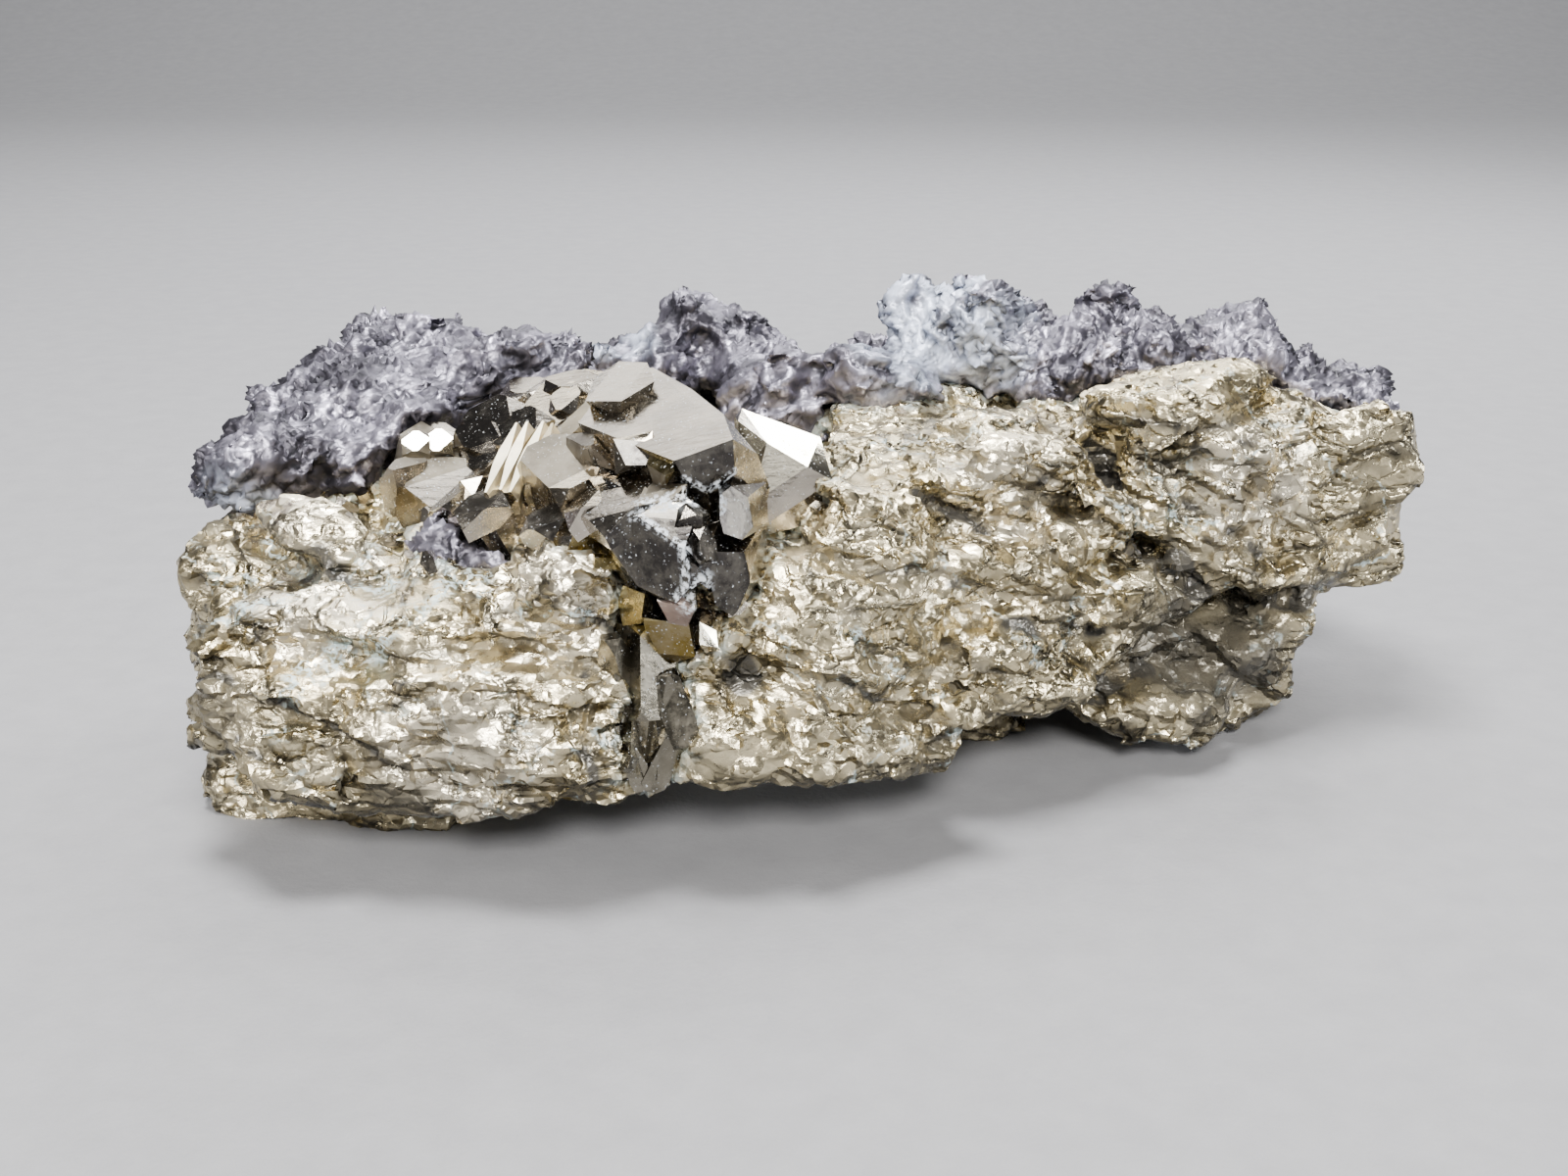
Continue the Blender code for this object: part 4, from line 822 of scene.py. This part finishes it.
crystals = take_copy("pyrite_crystals", "crystal_cluster")
overgrown = [(spot, facing) for spot, facing in spread_spots(crystals, 900, 12)
             if spot.x < OVERGROWN_EDGE and facing.z > 0.2
             and OVERGROWN_LEVELS[0] < spot.z < OVERGROWN_LEVELS[1]][:OVERGROWN_COUNT]
seed_crystal = grow_small_crystal()
rolls = random.Random(21)
rims = [place for place, near in zip(corners_of(mass)[0], [
    item.value for item in mass.data.attributes["seam"].data]) if near > 0.35]
rims = [Vector(place) for place in rims if place[1] < -0.004 and place[2] > 0.009]
bpy.ops.object.select_all(action="DESELECT")
set_crystals(
    crystals, seed_crystal,
    [rims[rolls.randrange(len(rims))] for _ in range(SMALL_COUNT)],
    [Euler([rolls.uniform(0.0, 6.28) for _ in range(3)]) for _ in range(SMALL_COUNT)],
    [[rolls.uniform(*SMALL_SIZE) * rolls.uniform(0.7, 1.3) * MM for _ in range(3)]
     for _ in range(SMALL_COUNT)],
)
bpy.ops.object.select_all(action="DESELECT")
set_crystals(
    crystals, seed_crystal,
    [Vector(place) * MM + SHIFT for place, _, _ in BLADES],
    [Euler([math.radians(angle) for angle in turn]) for _, _, turn in BLADES],
    [[side * MM for side in size] for _, size, _ in BLADES],
)
bpy.ops.object.select_all(action="DESELECT")
set_crystals(
    crystals, seed_crystal,
    [spot - facing * 0.25 * MM for spot, facing in overgrown],
    [(Euler([rolls.uniform(-0.14, 0.14) for _ in range(3)]).to_quaternion()
      @ facing.to_track_quat("Z", "Y")).to_euler() for _, facing in overgrown],
    [[rolls.uniform(*OVERGROWN_SIZE) * MM, rolls.uniform(*OVERGROWN_SIZE) * MM, 0.75 * MM]
     for _ in overgrown],
)
bpy.data.objects.remove(seed_crystal)
wear = crystals.modifiers.new("worn edges", "BEVEL")
wear.width = EDGE_WEAR
wear.segments = 1
wear.limit_method = "ANGLE"
wear.angle_limit = math.radians(12)
bpy.ops.object.modifier_apply(modifier=wear.name)


def tint_faces(piece):
    """Gives each face the tint of the listed face that it belongs to, or tan or steel. Near-black
    listed faces are painted dark reflection, and faces that look up are painted darker as painted
    shade, except pale and sheen faces.
    """
    layer = piece.data.attributes.new("tarnish_and_painted_light", "FLOAT_COLOR", "FACE")
    rolls = random.Random(8)
    for face, item in zip(piece.data.polygons, layer.data):
        tint = TAN if noise.cell(face.normal * 3.0 + Vector((7.0, 3.0, 5.0))) > 0.5 else STEEL
        nearest = None
        for middle, reach, listed in FACE_TINTS:
            gap = (face.center - (Vector(middle) * MM + SHIFT)).length / (reach * MM)
            if gap < 1.0 and (nearest is None or gap < nearest) and face.normal.y < 0.0:
                nearest, tint = gap, listed
        # Painted shade: faces that look up are painted darker.
        shade = rolls.uniform(0.9, 1.1) * (1.0 - 0.6 * max(0.0, face.normal.z) ** 2)
        if tint in (PALE, SHEEN):
            shade = 1.0
        item.color = (*[part * shade for part in tint[:3]], tint[3])


def crystal_pyrite():
    """Mirror faces of pyrite, thinly tarnished, with painted dark reflection and painted shade in
    their face tints.
    """
    made = Nodes("crystal pyrite")
    lines = made.noise(0.5, 2.0, 0.5, made.stretched((0.12, 1.0, 1.0), (0.0, 0.0, -38.0)))
    normal = made.bump(lines, 0.02)
    normal = made.bump(made.noise(0.25, 3.0, 0.6), 0.01, normal)
    made.feed(made.shader.inputs["Normal"], normal)
    patch = made.spread(made.noise(3.0, 3.0), 0.4, 0.6, 0.82, 1.12)
    tarnish_and_painted_light = made.add("Attribute", attribute_name="tarnish_and_painted_light").outputs
    colour = made.vector("SCALE", tarnish_and_painted_light["Vector"], scale=patch)
    haze = made.spread(made.noise(1.3, 6.0, 0.7), 0.42, 0.72, 0.0, 0.30)
    colour = made.mix(haze, colour, (0.46, 0.43, 0.36, 1))
    specks = made.spread(made.noise(0.16, 2.0, 0.5), 0.66, 0.71)
    specks = made.maths("MULTIPLY", specks, made.spread(made.noise(2.4, 4.0, 0.6), 0.35, 0.6))
    crumbs = made.spread(made.noise(0.35, 5.0, 0.7), 0.46, 0.56)
    for path, reach in DUST_PATHS:
        seam_dust = made.maths("MULTIPLY", made.spread(made.beside(path, reach), 0.0, 0.5), crumbs)
        specks = made.maths("MAXIMUM", specks, seam_dust)
    colour = made.mix(specks, colour, (0.66, 0.71, 0.76, 1))
    made.feed(made.shader.inputs["Base Color"], colour)
    made.feed(made.shader.inputs["Metallic"], made.spread(specks, 0.0, 1.0, 1.0, 0.0))
    gloss = made.maths("ADD", tarnish_and_painted_light["Alpha"], made.maths("MULTIPLY", haze, 0.6))
    made.feed(made.shader.inputs["Roughness"],
              made.maths("ADD", gloss, made.maths("MULTIPLY", specks, 0.5)))
    return made.material


tint_faces(crystals)
crystals.data.materials.append(crystal_pyrite())
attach(crystals, "root")
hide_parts("pyrite_crystals")

# Franckeite
# Crusts of franckeite, a dark lead-grey mineral that grows as warped leaves, crumpled together into
# lumps. They glint like crushed foil; a pale bluish painted highlight lies on some lumps, random
# leaves are painted pale as painted highlight, and painted shade darkens their hollows and
# undersides.

CRUST_VOXEL = 0.32 * MM
CRUST_PROUD = 0.5 * MM
LEAF_AREA = 7.0 * MM * MM
LEAF_SIZES = ((3.2, 5.6), (2.4, 4.2), (0.9, 1.5))
LEAF_LIFT = 0.1
LEAF_SWAY = 0.55
CRUST_LEDGES = [(4.6, 0.7)]
CRUST_GRAIN = [(2.4, 0.12, 0.12, 0.05)]
PAINTED_HIGHLIGHT_SPOTS = [
    # middle of a patch of pale bluish painted highlight in mm, its reach
    ((10.5, 13.0, 27.0), 8.5),
    ((-35.0, -7.0, 19.0), 3.6),
    ((-12.0, 16.0, 26.0), 4.0),
]


def dark_franckeite():
    """Lead grey, leafy and crumpled, with painted shade making it nearly black in its hollows and
    darker underneath, and painted highlight on pale leaves and bluish patches.
    """
    made = Nodes("dark franckeite")
    leaves = made.creases(3.4, 3.0, made.stretched((1.0, 1.0, 1.8), (20.0, 15.0, 0.0)))
    normal = made.bump(leaves, 0.40)
    normal = made.bump(made.noise(1.2, 3.0, 0.6), 0.07, normal)
    normal = made.tilted(normal, 1.7, 0.16, made.stretched((1.0, 1.0, 2.0)))
    made.feed(made.shader.inputs["Normal"], normal)
    hollow = made.hollows(0.42, 0.52, 1.0)
    patch = made.spread(made.noise(4.6, 4.0), 0.40, 0.60)
    colour = made.mix(patch, (0.055, 0.051, 0.064, 1), (0.25, 0.237, 0.290, 1))
    # Painted highlight: random leaves painted pale lavender, standing in for glints.
    leaf = made.spread(made.noise(2.2, 4.0, 0.6), 0.56, 0.68)
    colour = made.mix(leaf, colour, (0.60, 0.57, 0.70, 1))
    # Painted highlight: pale bluish, less metallic patches on the painted highlight spots.
    painted_highlight = made.spread(made.stored("painted_highlight"), 0.0, 0.5)
    patchy = made.spread(made.noise(3.0, 4.0, 0.6), 0.36, 0.56)
    painted_highlight = made.maths("MULTIPLY", painted_highlight, patchy, clamp=True)
    colour = made.mix(made.maths("MULTIPLY", painted_highlight, 0.9), colour, (0.64, 0.71, 0.87, 1))
    # Painted shade: near-black in the hollows.
    colour = made.mix(made.maths("MULTIPLY", hollow, 0.85), colour, (0.025, 0.025, 0.03, 1))
    # Painted shade: darker where the surface looks down.
    colour = made.vector("SCALE", colour, scale=made.underside(0.5))
    made.feed(made.shader.inputs["Base Color"], colour)
    made.feed(made.shader.inputs["Metallic"], made.spread(painted_highlight, 0.0, 1.0, 0.75, 0.2))
    rough = made.spread(made.noise(1.2, 4.0), 0.3, 0.7, 0.30, 0.48)
    made.feed(made.shader.inputs["Roughness"], rough)
    return made.material


def leaf_lay(spot):
    """How the leaves lie: they swing with the place, as crumpled leaves do."""
    return (1.0, 1.0, 2.4), 1.6 * noise.noise(spot / (5.0 * MM))


leaf = dark_franckeite()
splinter = strike_flake()
for node in ("franckeite_crust_left", "franckeite_crust_back", "franckeite_patch"):
    crust = take_copy(node, "crumpled_" + node.split("_", 1)[1])
    even_skin(crust, 1.6 * CRUST_VOXEL)
    area = sum(face.area for face in crust.data.polygons)
    leaves = spread_spots(crust, round(area / LEAF_AREA), 5)
    cover_with_flakes(crust, splinter, leaves, leaf_lay, LEAF_SIZES, LEAF_LIFT, LEAF_SWAY, 7)
    even_skin(crust, CRUST_VOXEL)
    hold_in(crust, node, CRUST_PROUD)
    lay_ledges(crust, CRUST_LEDGES, leaf_lay)
    break_up(crust, CRUST_GRAIN, leaf_lay)
    stand_on_table(crust)
    mark(crust, "painted_highlight", around(wandered(corners_of(crust)[0], 2.5, 1.5), PAINTED_HIGHLIGHT_SPOTS))
    crust.data.materials.append(leaf)
    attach(crust, "root")
    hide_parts(node)
bpy.data.objects.remove(splinter)

# Table, lights and camera
# The specimen lies on a plain pale table under soft lamps, seen from a little above.

CAMERA = Vector((0.0, -120.0, 55.0)) * MM
CAMERA_DROP = math.radians(20)
CAMERA_WIDTH = math.radians(45)
SWEEP_STEPS = 16
SWEEP_BEND = 0.35

bpy.ops.object.select_all(action="DESELECT")
bpy.ops.mesh.primitive_plane_add(size=2.0, location=(0.0, -0.6, 0.0))
table = bpy.context.object
table.name = "table"
bpy.ops.object.mode_set(mode="EDIT")
bpy.ops.mesh.select_all(action="DESELECT")
bpy.ops.object.mode_set(mode="OBJECT")
for edge in table.data.edges:
    edge.select = all(table.data.vertices[number].co.y > 0.5 for number in edge.vertices)
bpy.ops.object.mode_set(mode="EDIT")
for step in range(SWEEP_STEPS):
    slope = (step + 0.5) / SWEEP_STEPS * math.radians(80)
    length = SWEEP_BEND * math.radians(80) / SWEEP_STEPS
    move = (0.0, math.cos(slope) * length, math.sin(slope) * length)
    bpy.ops.mesh.extrude_edges_move(TRANSFORM_OT_translate={"value": move})
bpy.ops.mesh.extrude_edges_move(TRANSFORM_OT_translate={"value": (0.0, 0.1, 0.8)})
bpy.ops.object.mode_set(mode="OBJECT")
bpy.ops.object.transform_apply(location=True, rotation=True, scale=True)
bpy.ops.object.shade_smooth()
paper = Nodes("pale paper")
tone = paper.spread(paper.noise(3.0, 6.0, 0.6), 0.3, 0.7, 0.0, 1.0)
paper.feed(paper.shader.inputs["Base Color"],
           paper.mix(tone, (0.27, 0.27, 0.28, 1), (0.30, 0.30, 0.31, 1)))
paper.feed(paper.shader.inputs["Normal"], paper.bump(paper.noise(0.4, 3.0, 0.6), 0.05))
paper.shader.inputs["Roughness"].default_value = 0.9
table.data.materials.append(paper.material)


def lamp(name, place, target, size, power, colour=(1.0, 1.0, 1.0)):
    """A soft square lamp, aimed at a target. Sizes in mm."""
    bpy.ops.object.light_add(type="AREA", location=Vector(place) * MM)
    made = bpy.context.object
    made.name = name
    made.data.shape = "RECTANGLE"
    made.data.size = size[0] * MM
    made.data.size_y = size[1] * MM
    made.data.energy = power
    made.data.color = colour
    aim = Vector(target) * MM - made.location
    made.rotation_euler = aim.to_track_quat("-Z", "Y").to_euler()


lamp("overhead", (-30, -30, 260), (0, 0, 10), (100, 70), 1.35)
lamp("front", (10, -300, 200), (0, 0, 12), (80, 60), 1.8, (1.0, 0.98, 0.95))
lamp("front left", (-230, -120, 170), (0, 0, 12), (70, 70), 0.30, (1.0, 0.97, 0.93))
lamp("right", (229, -70, 52), (0, 0, 12), (60, 60), 0.28, (0.95, 0.97, 1.0))
lamp("glint", (152, 192, 181), (0, 0, 15), (60, 60), 0.45)
lamp("behind", (0, 260, 200), (0, 40, 0), (300, 120), 0.6, (0.96, 0.96, 1.0))
lamp("backdrop", (0, 250, 420), (0, 500, 60), (500, 200), 3.2)

world = bpy.data.worlds.new("dim room")
world.use_nodes = True
world.node_tree.nodes["Background"].inputs["Color"].default_value = (0.07, 0.07, 0.077, 1)
bpy.context.scene.world = world

bpy.ops.object.camera_add(location=CAMERA + SHIFT, rotation=(math.pi / 2 - CAMERA_DROP, 0, 0))
camera = bpy.context.object
camera.data.angle = CAMERA_WIDTH
camera.data.clip_start = 0.001
bpy.context.scene.camera = camera
